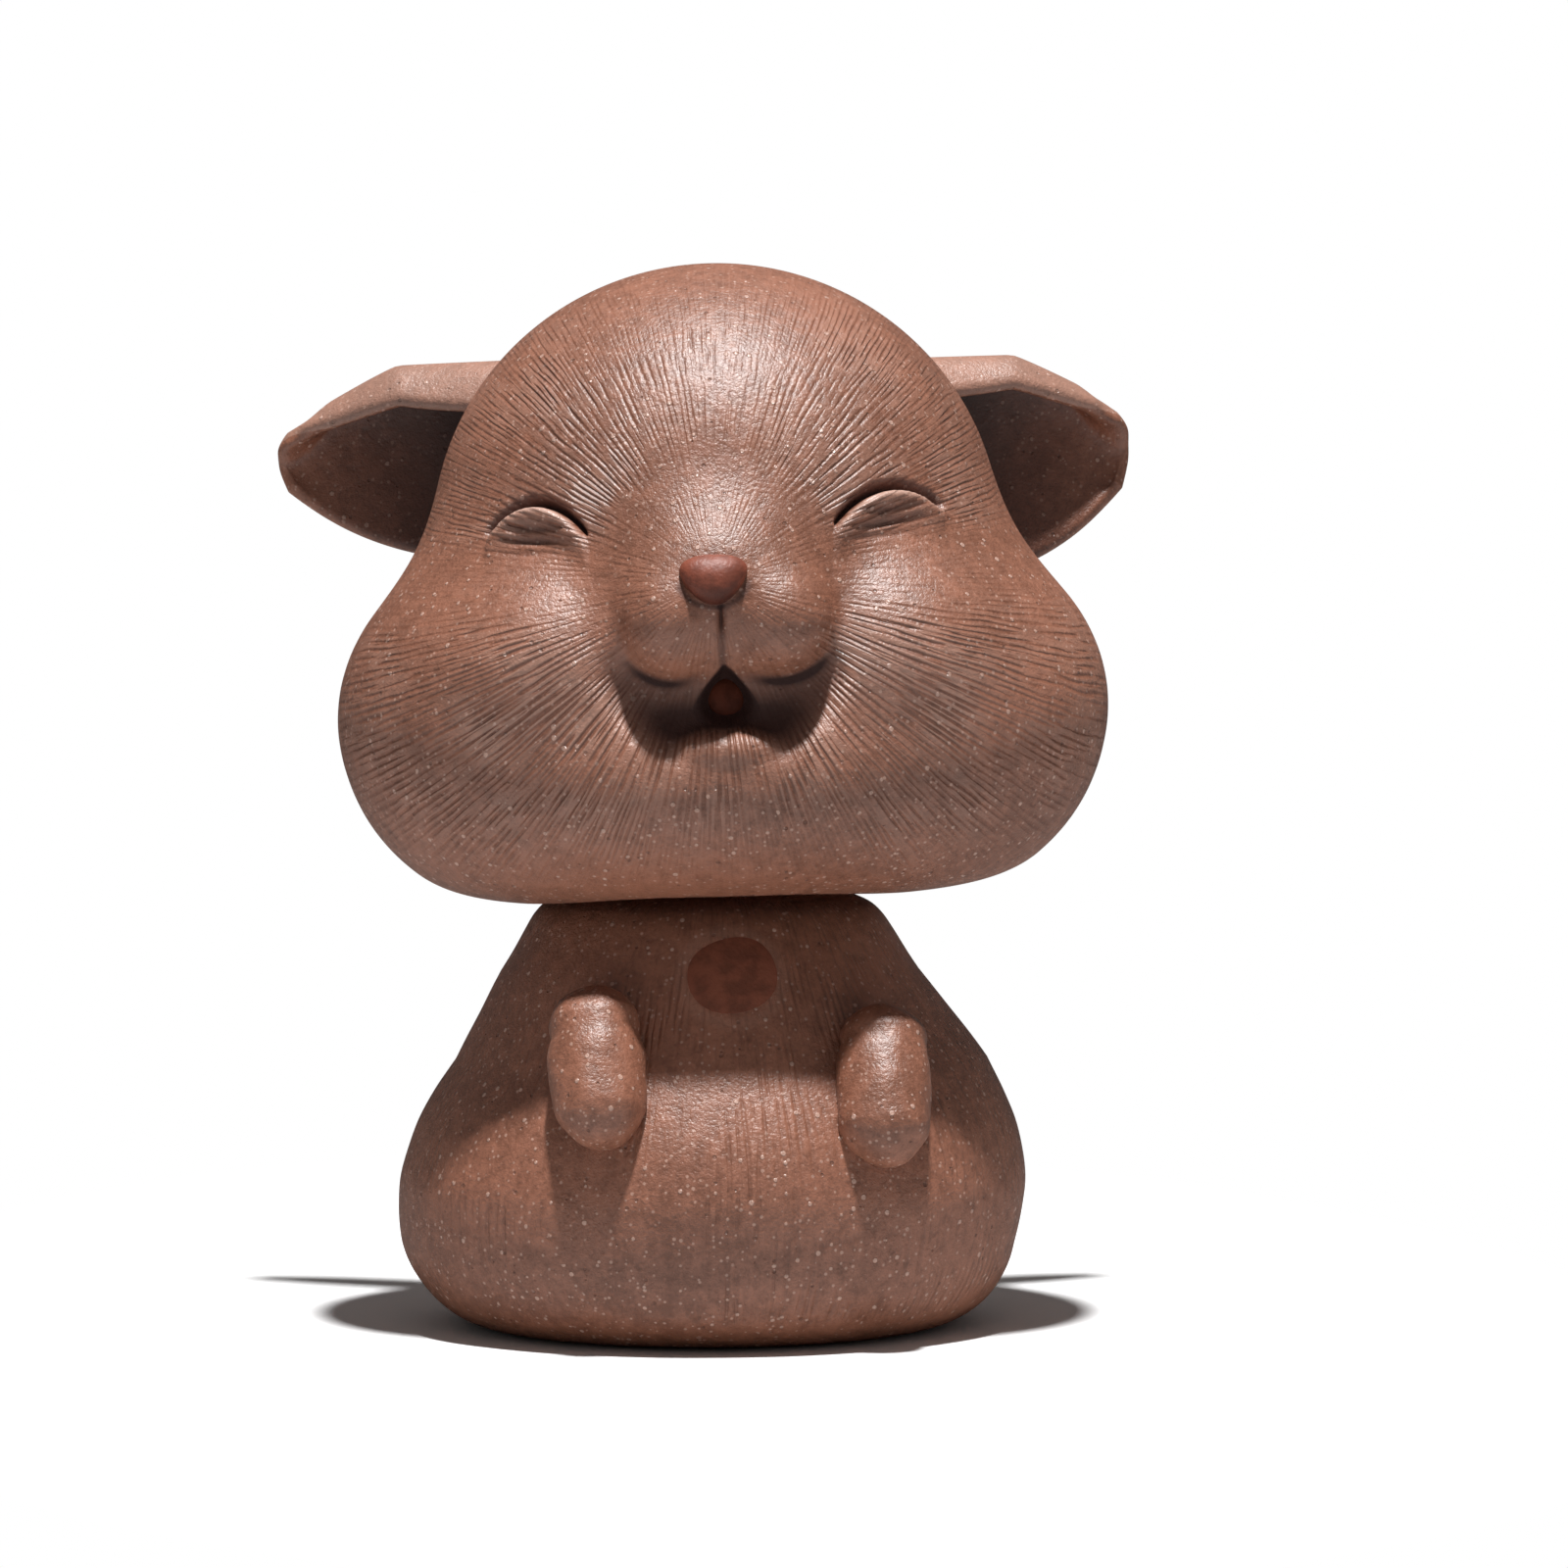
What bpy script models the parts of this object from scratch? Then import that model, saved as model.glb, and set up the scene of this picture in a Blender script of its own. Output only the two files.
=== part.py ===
"""Clay tea pet with a shaking head: a hollow gourd body, a spring neck and a hollow head with folded ears.

Units are metres, +Z is up, the body's front faces -Y and the origin is the centre of the flat base.
"""

import math

import bmesh
import bpy
import numpy as np
from mathutils import Matrix, Vector
from mathutils.geometry import interpolate_bezier

MM = 0.001

# Gap left at every luted, glued or slip joint
SEAT_GAP = 0.3 * MM

# Body, turned hollow and pressed a little flatter front to back
BASE_RADIUS = 20.6 * MM
BELLY_RADIUS = 26.4 * MM
BELLY_DEPTH = 23.8 * MM
BELLY_HEIGHT = 11.3 * MM
BELLY_HANDLE = 7.7 * MM
SHOULDER_RADIUS = 14.7 * MM
SHOULDER_HEIGHT = 34.8 * MM
SHOULDER_RUN = 4.9 * MM
SHOULDER_DROP = 8.6 * MM
SHOULDER_ROLL = 1.7 * MM
SHOULDER_HANDLE = 0.2
NECK_RADIUS = 8.8 * MM
NECK_HEIGHT = 4.0 * MM
BODY_WALL = 3.4 * MM
NECK_BORE_RADIUS = 6.0 * MM

# Red disc let into the chest
DISC_RADIUS = 4.4 * MM
DISC_THICKNESS = 1.2 * MM
DISC_DROP = 3.8 * MM

# Begging arms, the left one set a little higher
ARM_WIDTH = 7.7 * MM
ARM_LENGTH = 13.2 * MM
ARM_REACH = 18.4 * MM
ARM_TILT = math.radians(26.0)
ARM_LEFT_ACROSS = -11.4 * MM
ARM_LEFT_HEIGHT = 23.4 * MM
ARM_RIGHT_ACROSS = 12.2 * MM
ARM_RIGHT_HEIGHT = 21.7 * MM

# Coil spring of the neck and the two plugs that hold its ends
SPRING_RADIUS = 3.6 * MM
SPRING_WIRE = 0.9 * MM
SPRING_TURNS = 7.5
SPRING_FREE_LENGTH = 7.6 * MM
SOCKET_DEPTH = 4.4 * MM
FLANGE_THICKNESS = 1.6 * MM
NECK_FLANGE_RADIUS = 8.2 * MM
NECK_SPIGOT_LENGTH = 6.2 * MM
HEAD_FLANGE_RADIUS = 8.6 * MM
HEAD_SPIGOT_RADIUS = 6.4 * MM
HEAD_SPIGOT_LENGTH = 6.4 * MM

# Rest pose of the head on the spring
HEAD_TURN = math.radians(-4.4)
HEAD_LEAN = math.radians(2.0)

# Head, a smooth union of a crown, two cheeks, a jaw, a nape and two muzzle pads, cut level below
HEAD_OFFSET = 0.85 * MM
CROWN_HEIGHT = 66.0 * MM
CROWN_SET_BACK = 2.0 * MM
CROWN_RADII = (24.0 * MM, 23.0 * MM, 23.4 * MM)
CHEEK_SPREAD = 12.3 * MM
CHEEK_HEIGHT = 51.8 * MM
CHEEK_FORWARD = 2.5 * MM
CHEEK_RADII = (20.0 * MM, 19.0 * MM, 16.6 * MM)
JAW_HEIGHT = 47.0 * MM
JAW_SET_BACK = 0.8 * MM
JAW_RADII = (28.7 * MM, 25.3 * MM, 14.0 * MM)
NAPE_HEIGHT = 56.0 * MM
NAPE_SET_BACK = 4.6 * MM
NAPE_RADII = (22.0 * MM, 21.0 * MM, 15.0 * MM)
PAD_SPREAD = 4.7 * MM
PAD_HEIGHT = 59.5 * MM
PAD_FORWARD = 18.4 * MM
PAD_RADII = (5.4 * MM, 5.6 * MM, 4.3 * MM)
HEAD_BOTTOM = 36.2 * MM
HEAD_WALL = 3.4 * MM
CROWN_BLEND = 6.0 * MM
JAW_BLEND = 4.0 * MM
PAD_BLEND = 1.6 * MM
RIM_BLEND = 3.0 * MM
HEAD_CENTRE_HEIGHT = 56.0 * MM
HEAD_REACH = 60.0 * MM
HEAD_OPENING_WIDTH = 36.4 * MM
HEAD_OPENING_DEPTH = 32.8 * MM

# Dished disc inside the head that carries the spring's upper plug
FLOOR_THICKNESS = 2.4 * MM
FLOOR_SEAT_HEIGHT = 41.0 * MM
DISH_TOP_RADIUS = 11.5 * MM

# Nose, mouth, tongue and closed eyes
NOSE_HEIGHT = 64.1 * MM
NOSE_HALF_SIZE = (2.75 * MM, 1.7 * MM, 2.05 * MM)
NOSE_TAPER = 0.34
NOSE_PROUD = 0.5 * MM
MOUTH_HEIGHT = 54.4 * MM
MOUTH_HALF_SIZE = (2.35 * MM, 2.0 * MM, 2.6 * MM)
MOUTH_TAPER = -0.34
TONGUE_DEPTH = 0.7 * MM
EYE_SPREAD = 14.0 * MM
EYE_HEIGHT = 68.2 * MM
EYE_HALF_WIDTH = 3.8 * MM
EYE_ARCH = 1.7 * MM
EYE_GROOVE_RADIUS = 0.55 * MM

# Ears, each a thin leaf folded forward along its upper edge
EAR_THICKNESS = 1.7 * MM
EAR_ROOT = 15.0 * MM
EAR_ROOT_BACK = 5.5 * MM
EAR_SWEEP = 9.5 * MM
EAR_LIP_FORWARD = 2.8 * MM
EAR_RIDGE_BACK = 0.7 * MM
EAR_CUP_DEPTH = 7.5 * MM
EAR_ARCH = 1.1
EAR_FULLNESS = 2.6
EAR_TIP_SHARE = 0.985
EAR_LEFT = {
    "side": -1.0,
    "reach": 37.0 * MM,
    "ridge": 81.7 * MM,
    "tip": 74.8 * MM,
    "low": 64.7 * MM,
    "fold": 4.1 * MM,
    "droop": 4.0,
}
EAR_RIGHT = {
    "side": 1.0,
    "reach": 35.9 * MM,
    "ridge": 80.8 * MM,
    "tip": 72.8 * MM,
    "low": 61.2 * MM,
    "fold": 3.2 * MM,
    "droop": 2.1,
}

# Mesh fineness
FOOT_STEPS = 5
FLANK_STEPS = 9
SHOULDER_STEPS = 3
BODY_SEGMENTS = 48
PLUG_SEGMENTS = 28
ARM_COLUMNS = 20
BALL_COLUMNS = 16
BALL_ROWS = 12
HEAD_COLUMNS = 56
HEAD_ROWS = 36
CAVITY_COLUMNS = 28
CAVITY_ROWS = 18
FRONT_CROWDING = 0.4
SOLVE_STEPS = 26
POINTS_PER_TURN = 9
EAR_STEPS = 12
EYE_STEPS = 8
SHARP_ANGLE = math.radians(40.0)
TINY = 1e-6

# Heights that follow from the sizes above
DISC_HEIGHT = SHOULDER_HEIGHT - DISC_DROP
BODY_TOP = SHOULDER_HEIGHT + SHOULDER_ROLL + NECK_HEIGHT
NECK_FLANGE_TOP = BODY_TOP + SEAT_GAP + FLANGE_THICKNESS
HEAD_FLANGE_BOTTOM = NECK_FLANGE_TOP + SPRING_FREE_LENGTH
FLOOR_UNDERSIDE = HEAD_FLANGE_BOTTOM + FLANGE_THICKNESS + SEAT_GAP
SOCKET_RADIUS = SPRING_RADIUS + SPRING_WIRE / 2 + SEAT_GAP
PIVOT = Vector((0.0, 0.0, (NECK_FLANGE_TOP + HEAD_FLANGE_BOTTOM) / 2))


def clear_scene():
    for obj in list(bpy.data.objects):
        bpy.data.objects.remove(obj, do_unlink=True)


def clay(name, red, green, blue, roughness, metallic=0.0):
    """Principled material from a colour written in 0 to 255 display values."""
    material = bpy.data.materials.new(name)
    material.use_nodes = True
    shader = material.node_tree.nodes["Principled BSDF"]
    linear = [(value / 255.0) ** 2.2 for value in (red, green, blue)]
    shader.inputs["Base Color"].default_value = (*linear, 1.0)
    shader.inputs["Roughness"].default_value = roughness
    shader.inputs["Metallic"].default_value = metallic
    return material


def brown_clay(name):
    return clay(name, 146, 102, 87, 0.62)


def red_clay(name):
    return clay(name, 126, 64, 50, 0.6)


def spring_steel(name):
    return clay(name, 176, 178, 182, 0.32, metallic=1.0)


def add_object(name, bm, material=None):
    """Turn a finished bmesh into a smooth-shaded object at the origin."""
    bmesh.ops.recalc_face_normals(bm, faces=bm.faces)
    mesh = bpy.data.meshes.new(name)
    bm.to_mesh(mesh)
    bm.free()
    mesh.shade_smooth()
    mesh.set_sharp_from_angle(angle=SHARP_ANGLE)
    obj = bpy.data.objects.new(name, mesh)
    bpy.context.scene.collection.objects.link(obj)
    if material:
        mesh.materials.append(material)
    return obj


def as_guide(obj):
    """A cutter or a reference shape, never part of the model itself."""
    obj.hide_render = True
    obj.display_type = "WIRE"
    return obj


def combine(obj, operation, guide):
    modifier = obj.modifiers.new(operation.title() + " " + guide.name, "BOOLEAN")
    modifier.operation = operation
    modifier.solver = "EXACT"
    modifier.object = guide


def turned(profile, segments, closed):
    """Spin a profile of (radius, height) points about Z; a closed profile makes a ring-shaped solid."""
    bm = bmesh.new()
    verts = [bm.verts.new((radius, 0.0, height)) for radius, height in profile]
    edges = [bm.edges.new(pair) for pair in zip(verts, verts[1:])]
    if closed:
        edges.append(bm.edges.new((verts[-1], verts[0])))
    bmesh.ops.spin(
        bm,
        geom=verts + edges,
        cent=(0.0, 0.0, 0.0),
        axis=(0.0, 0.0, 1.0),
        angle=2.0 * math.pi,
        steps=segments,
        use_merge=True,
        use_duplicate=False,
    )
    bmesh.ops.remove_doubles(bm, verts=bm.verts, dist=TINY)
    return bm


def bezier(start, first_handle, second_handle, end, steps):
    """Points of a cubic curve in the (radius, height) plane, without its first point."""
    knots = [Vector((point[0], point[1], 0.0)) for point in (start, first_handle, second_handle, end)]
    return [(point.x, point.y) for point in interpolate_bezier(*knots, steps + 1)[1:]]


def foot_outline():
    """Quarter ellipse from the base circle out to the widest part of the belly."""
    points = []
    for step in range(FOOT_STEPS + 1):
        angle = step / FOOT_STEPS * math.pi / 2
        radius = BASE_RADIUS + (BELLY_RADIUS - BASE_RADIUS) * math.sin(angle)
        points.append((radius, BELLY_HEIGHT * (1.0 - math.cos(angle))))
    return points


def flank_outline():
    """Long easy curve from the belly in to the shoulder."""
    return bezier(
        (BELLY_RADIUS, BELLY_HEIGHT),
        (BELLY_RADIUS, BELLY_HEIGHT + BELLY_HANDLE),
        (SHOULDER_RADIUS + SHOULDER_RUN, SHOULDER_HEIGHT - SHOULDER_DROP),
        (SHOULDER_RADIUS, SHOULDER_HEIGHT),
        FLANK_STEPS,
    )


def shoulder_outline():
    """Short roll from the shoulder to the neck, then the neck's straight side."""
    top = SHOULDER_HEIGHT + SHOULDER_ROLL
    roll = bezier(
        (SHOULDER_RADIUS, SHOULDER_HEIGHT),
        (
            SHOULDER_RADIUS - SHOULDER_HANDLE * SHOULDER_RUN,
            SHOULDER_HEIGHT + SHOULDER_HANDLE * SHOULDER_DROP,
        ),
        ((SHOULDER_RADIUS + NECK_RADIUS) / 2, top),
        (NECK_RADIUS, top),
        SHOULDER_STEPS,
    )
    return roll + [(NECK_RADIUS, BODY_TOP)]


def offset_inward(points, distance):
    """Move each inner point of an outline along its own normal, towards the axis."""
    moved = []
    for before, here, after in zip(points, points[1:], points[2:]):
        run = after[0] - before[0]
        rise = after[1] - before[1]
        length = math.hypot(run, rise)
        moved.append((here[0] - distance * rise / length, here[1] + distance * run / length))
    return moved


def flatten_round_walls(bm, round_radius):
    """Press a turned body front to back, leaving its bores round."""
    ratio = BELLY_DEPTH / BELLY_RADIUS
    for vert in bm.verts:
        if math.hypot(vert.co.x, vert.co.y) > round_radius + TINY:
            vert.co.y *= ratio


def body_solid(name, grow):
    """The body's outer form as one full solid, made larger all round by grow."""
    outline = foot_outline() + flank_outline() + shoulder_outline()
    profile = [(radius + grow, height) for radius, height in outline]
    profile[0] = (profile[0][0], -grow)
    profile[-1] = (profile[-1][0], BODY_TOP + grow)
    bm = turned([(0.0, -grow)] + profile + [(0.0, BODY_TOP + grow)], BODY_SEGMENTS, closed=False)
    flatten_round_walls(bm, 0.0)
    return as_guide(add_object(name, bm))


def disc_axis():
    """Point on the chest and outward normal there, in the plane of symmetry."""
    ratio = BELLY_DEPTH / BELLY_RADIUS
    outline = flank_outline()
    for low, high in zip(outline, outline[1:]):
        if low[1] <= DISC_HEIGHT <= high[1]:
            share = (DISC_HEIGHT - low[1]) / (high[1] - low[1])
            radius = low[0] + share * (high[0] - low[0])
            run = (low[0] - high[0]) * ratio
            normal = Vector((0.0, -(high[1] - low[1]), run)).normalized()
            return Vector((0.0, -radius * ratio, DISC_HEIGHT)), normal
    raise ValueError("the chest disc lies outside the flank")


def chest_plug(name, radius, depth):
    """Short round bar through the chest surface, reaching depth into the clay."""
    point, normal = disc_axis()
    outside = 2.0 * DISC_RADIUS
    bm = bmesh.new()
    bmesh.ops.create_cone(
        bm,
        cap_ends=True,
        segments=PLUG_SEGMENTS,
        radius1=radius,
        radius2=radius,
        depth=depth + outside,
    )
    turn = normal.to_track_quat("Z", "Y").to_matrix().to_4x4()
    middle = point + normal * (outside - depth) / 2
    bmesh.ops.transform(bm, matrix=Matrix.Translation(middle) @ turn, verts=bm.verts)
    return add_object(name, bm)


def make_body_shell():
    outer = foot_outline() + flank_outline() + shoulder_outline()
    wall = offset_inward(foot_outline() + flank_outline() + shoulder_outline()[:1], BODY_WALL)
    inner = [point for point in wall if point[1] > BODY_WALL + TINY and point[0] > NECK_BORE_RADIUS]
    inner.reverse()
    ledge_height = inner[0][1]
    bore = [(NECK_BORE_RADIUS, BODY_TOP), (NECK_BORE_RADIUS, ledge_height)]
    floor = [(inner[-1][0] - BODY_WALL / 2, BODY_WALL), (0.0, BODY_WALL)]
    bm = turned([(0.0, 0.0)] + outer + bore + inner + floor, BODY_SEGMENTS, closed=False)
    flatten_round_walls(bm, NECK_BORE_RADIUS)
    body = add_object("body_shell", bm, brown_clay("body_clay"))
    pocket = as_guide(chest_plug("chest_pocket_cutter", DISC_RADIUS + SEAT_GAP, DISC_THICKNESS + SEAT_GAP))
    combine(body, "DIFFERENCE", pocket)
    return body


def make_chest_disc(body_core):
    disc = chest_plug("chest_disc", DISC_RADIUS, DISC_THICKNESS)
    disc.data.materials.append(red_clay("disc_clay"))
    combine(disc, "INTERSECT", body_core)
    return disc


def make_arm(name, across, height, body_guide):
    """Upright lobe with a round end, leaning back against the belly and cut to fit it."""
    radius = ARM_WIDTH / 2
    half_straight = (ARM_LENGTH - ARM_WIDTH) / 2
    bm = bmesh.new()
    bmesh.ops.create_uvsphere(bm, u_segments=ARM_COLUMNS, v_segments=BALL_ROWS, radius=radius)
    for vert in bm.verts:
        vert.co.z += math.copysign(half_straight, vert.co.z) if abs(vert.co.z) > TINY else 0.0
    place = Matrix.Translation((across, -ARM_REACH, height)) @ Matrix.Rotation(-ARM_TILT, 4, "X")
    bmesh.ops.transform(bm, matrix=place, verts=bm.verts)
    arm = add_object(name, bm, brown_clay(name + "_clay"))
    combine(arm, "DIFFERENCE", body_guide)
    return arm


def make_neck_seat():
    """Round plug in the neck's bore, with a socket for the spring's foot."""
    spigot_radius = NECK_BORE_RADIUS - SEAT_GAP
    bottom = BODY_TOP - NECK_SPIGOT_LENGTH
    flange_bottom = BODY_TOP + SEAT_GAP
    profile = [
        (0.0, bottom),
        (spigot_radius, bottom),
        (spigot_radius, flange_bottom),
        (NECK_FLANGE_RADIUS, flange_bottom),
        (NECK_FLANGE_RADIUS, NECK_FLANGE_TOP),
        (SOCKET_RADIUS, NECK_FLANGE_TOP),
        (SOCKET_RADIUS, NECK_FLANGE_TOP - SOCKET_DEPTH),
        (0.0, NECK_FLANGE_TOP - SOCKET_DEPTH),
    ]
    return add_object("neck_seat", turned(profile, PLUG_SEGMENTS, closed=False), brown_clay("neck_seat_clay"))


def make_head_seat():
    """Round plug through the head's floor, with a socket for the spring's top."""
    flange_top = HEAD_FLANGE_BOTTOM + FLANGE_THICKNESS
    top = flange_top + HEAD_SPIGOT_LENGTH
    profile = [
        (0.0, HEAD_FLANGE_BOTTOM + SOCKET_DEPTH),
        (SOCKET_RADIUS, HEAD_FLANGE_BOTTOM + SOCKET_DEPTH),
        (SOCKET_RADIUS, HEAD_FLANGE_BOTTOM),
        (HEAD_FLANGE_RADIUS, HEAD_FLANGE_BOTTOM),
        (HEAD_FLANGE_RADIUS, flange_top),
        (HEAD_SPIGOT_RADIUS, flange_top),
        (HEAD_SPIGOT_RADIUS, top),
        (0.0, top),
    ]
    return add_object("head_seat", turned(profile, PLUG_SEGMENTS, closed=False), brown_clay("head_seat_clay"))


def spring_points():
    """Helix between the two sockets, bent over the free length by the head's lean."""
    bottom = NECK_FLANGE_TOP - SOCKET_DEPTH + SEAT_GAP + SPRING_WIRE / 2
    top = HEAD_FLANGE_BOTTOM + SOCKET_DEPTH - SEAT_GAP - SPRING_WIRE / 2
    count = round(SPRING_TURNS * POINTS_PER_TURN)
    points = []
    for step in range(count + 1):
        angle = 2.0 * math.pi * step / POINTS_PER_TURN
        height = bottom + (top - bottom) * step / count
        point = Vector((SPRING_RADIUS * math.cos(angle), SPRING_RADIUS * math.sin(angle), height))
        share = min(max((height - NECK_FLANGE_TOP) / SPRING_FREE_LENGTH, 0.0), 1.0)
        lean = Matrix.Rotation(HEAD_TURN, 3, "Z") @ Matrix.Rotation(-HEAD_LEAN * share, 3, "Y")
        points.append(lean @ (point - PIVOT) + PIVOT)
    first_run = (points[0] - points[1]).normalized() * SPRING_WIRE
    last_run = (points[-1] - points[-2]).normalized() * SPRING_WIRE
    return [points[0] + first_run] + points + [points[-1] + last_run]


def print_spring_gap(points):
    """Least distance between the wire's surfaces in neighbouring turns."""
    closest = min(
        (here - there).length
        for index, here in enumerate(points)
        for there in points[index + POINTS_PER_TURN // 2 :]
    )
    print(f"spring: least gap between turns {(closest - SPRING_WIRE) / MM:.2f} mm")


def tube(name, points, radius):
    """Round tube along a list of points, with closed ends."""
    curve = bpy.data.curves.new(name, "CURVE")
    curve.dimensions = "3D"
    curve.bevel_depth = radius
    curve.bevel_resolution = 1
    curve.use_fill_caps = True
    spline = curve.splines.new("POLY")
    spline.points.add(len(points) - 1)
    for spline_point, point in zip(spline.points, points):
        spline_point.co = (*point, 1.0)
    obj = bpy.data.objects.new(name, curve)
    bpy.context.scene.collection.objects.link(obj)
    return obj


def make_neck_spring():
    points = spring_points()
    print_spring_gap(points)
    spring = tube("neck_spring", points, SPRING_WIRE / 2)
    spring.data.materials.append(spring_steel("neck_spring_steel"))
    return spring


def smooth_min(first, second, blend):
    """Smaller of two distances, with the corner between them rounded off over blend."""
    share = np.clip(0.5 + 0.5 * (second - first) / blend, 0.0, 1.0)
    return second * (1.0 - share) + first * share - blend * share * (1.0 - share)


def ellipsoid(points, centre, radii):
    """Near distance from points to an ellipsoid, negative inside."""
    scaled = (points - np.array(centre)) / np.array(radii)
    length = np.linalg.norm(scaled, axis=-1)
    slope = np.linalg.norm(scaled / np.array(radii), axis=-1)
    return length * (length - 1.0) / np.maximum(slope, TINY)


def pair_of_ellipsoids(points, spread, forward, height, radii, blend):
    left = ellipsoid(points, (HEAD_OFFSET - spread, -forward, height), radii)
    right = ellipsoid(points, (HEAD_OFFSET + spread, -forward, height), radii)
    return smooth_min(left, right, blend)


def head_form(points):
    """Near distance to the head's outer surface, in upright head coordinates."""
    crown = ellipsoid(points, (HEAD_OFFSET, CROWN_SET_BACK, CROWN_HEIGHT), CROWN_RADII)
    cheeks = pair_of_ellipsoids(
        points, CHEEK_SPREAD, CHEEK_FORWARD, CHEEK_HEIGHT, CHEEK_RADII, CROWN_BLEND
    )
    jaw = ellipsoid(points, (HEAD_OFFSET, JAW_SET_BACK, JAW_HEIGHT), JAW_RADII)
    nape = ellipsoid(points, (HEAD_OFFSET, NAPE_SET_BACK, NAPE_HEIGHT), NAPE_RADII)
    pads = pair_of_ellipsoids(points, PAD_SPREAD, PAD_FORWARD, PAD_HEIGHT, PAD_RADII, PAD_BLEND)
    form = smooth_min(crown, cheeks, CROWN_BLEND)
    form = smooth_min(smooth_min(form, jaw, JAW_BLEND), nape, JAW_BLEND)
    form = smooth_min(form, pads, PAD_BLEND)
    below = HEAD_BOTTOM - points[..., 2]
    return -smooth_min(-form, -below, RIM_BLEND)


def head_radii(directions, centre, grow):
    """Distance from centre to the grown head surface along each direction, by halving."""
    near = np.zeros(len(directions))
    far = np.full(len(directions), HEAD_REACH)
    for _ in range(SOLVE_STEPS):
        middle = (near + far) / 2
        inside = head_form(centre + directions * middle[:, None]) < grow
        near = np.where(inside, middle, near)
        far = np.where(inside, far, middle)
    return near


def crowded(directions):
    """Turn directions about Z so that more of them face the front."""
    around = np.arctan2(directions[:, 0], -directions[:, 1])
    around = around - FRONT_CROWDING * np.sin(around)
    level = np.hypot(directions[:, 0], directions[:, 1])
    return np.stack([level * np.sin(around), -level * np.cos(around), directions[:, 2]], axis=1)


def head_solid(name, grow, columns, rows):
    """The head's form as one full solid, made larger by grow or smaller if that is negative."""
    bm = bmesh.new()
    bmesh.ops.create_uvsphere(bm, u_segments=columns, v_segments=rows, radius=1.0)
    centre = np.array((HEAD_OFFSET, 0.0, HEAD_CENTRE_HEIGHT))
    directions = crowded(np.array([vert.co[:] for vert in bm.verts]))
    surface = centre + directions * head_radii(directions, centre, grow)[:, None]
    for vert, place in zip(bm.verts, surface):
        vert.co = place
    return add_object(name, bm)


def face_point(across, height):
    """Point on the front of the head at a given place across and height."""
    near = 0.0
    far = HEAD_REACH
    for _ in range(SOLVE_STEPS):
        middle = (near + far) / 2
        place = np.array([[HEAD_OFFSET + across, -middle, height]])
        if head_form(place)[0] < 0.0:
            near = middle
        else:
            far = middle
    return Vector((HEAD_OFFSET + across, -near, height))


def mount_on_head(obj, head_pivot):
    """Hand a piece made in upright head coordinates to the leaning, turned head."""
    obj.data.transform(Matrix.Translation(-PIVOT))
    obj.parent = head_pivot
    return obj


def head_opening_cutter():
    """Upright oval bar that opens the head's underside for the neck."""
    bm = bmesh.new()
    depth = 2.0 * HEAD_WALL + 2.0 * RIM_BLEND
    bmesh.ops.create_cone(
        bm, cap_ends=True, segments=CAVITY_COLUMNS * 2, radius1=0.5, radius2=0.5, depth=depth
    )
    bmesh.ops.scale(bm, vec=(HEAD_OPENING_WIDTH, HEAD_OPENING_DEPTH, 1.0), verts=bm.verts)
    bmesh.ops.translate(bm, vec=(0.0, 0.0, HEAD_BOTTOM + HEAD_WALL / 2), verts=bm.verts)
    return add_object("head_opening_cutter", bm)


def tapered_ball(name, centre, half_size, taper, grow):
    """Ball stretched to half sizes and made wider towards the top by taper, narrower if negative."""
    bm = bmesh.new()
    bmesh.ops.create_uvsphere(bm, u_segments=BALL_COLUMNS, v_segments=BALL_ROWS, radius=1.0)
    across, deep, tall = (size + grow for size in half_size)
    for vert in bm.verts:
        widen = 1.0 + taper * vert.co.z
        vert.co = (vert.co.x * across * widen, vert.co.y * deep, vert.co.z * tall)
    bmesh.ops.translate(bm, vec=centre, verts=bm.verts)
    return add_object(name, bm)


def nose_ball(name, grow):
    centre = face_point(0.0, NOSE_HEIGHT) - Vector((0.0, NOSE_PROUD, 0.0))
    return tapered_ball(name, centre, NOSE_HALF_SIZE, NOSE_TAPER, grow)


def mouth_ball(name, grow):
    return tapered_ball(name, face_point(0.0, MOUTH_HEIGHT), MOUTH_HALF_SIZE, MOUTH_TAPER, grow)


def eye_cutter(name, side):
    """Bent bar that carves the arched crease of one closed eye."""
    points = []
    for step in range(EYE_STEPS + 1):
        share = 2.0 * step / EYE_STEPS - 1.0
        across = side * EYE_SPREAD + share * EYE_HALF_WIDTH
        height = EYE_HEIGHT + EYE_ARCH * (0.5 - share * share)
        points.append(face_point(across, height))
    bar = tube(name + "_bar", points, EYE_GROOVE_RADIUS)
    mesh = bpy.data.meshes.new_from_object(bar.evaluated_get(bpy.context.evaluated_depsgraph_get()))
    bpy.data.objects.remove(bar, do_unlink=True)
    obj = bpy.data.objects.new(name, mesh)
    bpy.context.scene.collection.objects.link(obj)
    return obj


def make_head_shell(head_pivot):
    """Hollow head open below, carved for the mouth, the nose and the closed eyes."""
    shell = head_solid("head_shell", 0.0, HEAD_COLUMNS, HEAD_ROWS)
    shell.data.materials.append(brown_clay("head_clay"))
    cutters = [
        head_solid("head_cavity_cutter", -HEAD_WALL, CAVITY_COLUMNS, CAVITY_ROWS),
        head_opening_cutter(),
        nose_ball("nose_pocket_cutter", SEAT_GAP),
        mouth_ball("mouth_cutter", 0.0),
        eye_cutter("eye_left_cutter", -1.0),
        eye_cutter("eye_right_cutter", 1.0),
    ]
    for cutter in cutters:
        combine(shell, "DIFFERENCE", mount_on_head(as_guide(cutter), head_pivot))
    return mount_on_head(shell, head_pivot)


def make_nose(head_pivot):
    nose = nose_ball("nose", 0.0)
    nose.data.materials.append(red_clay("nose_clay"))
    return mount_on_head(nose, head_pivot)


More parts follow.
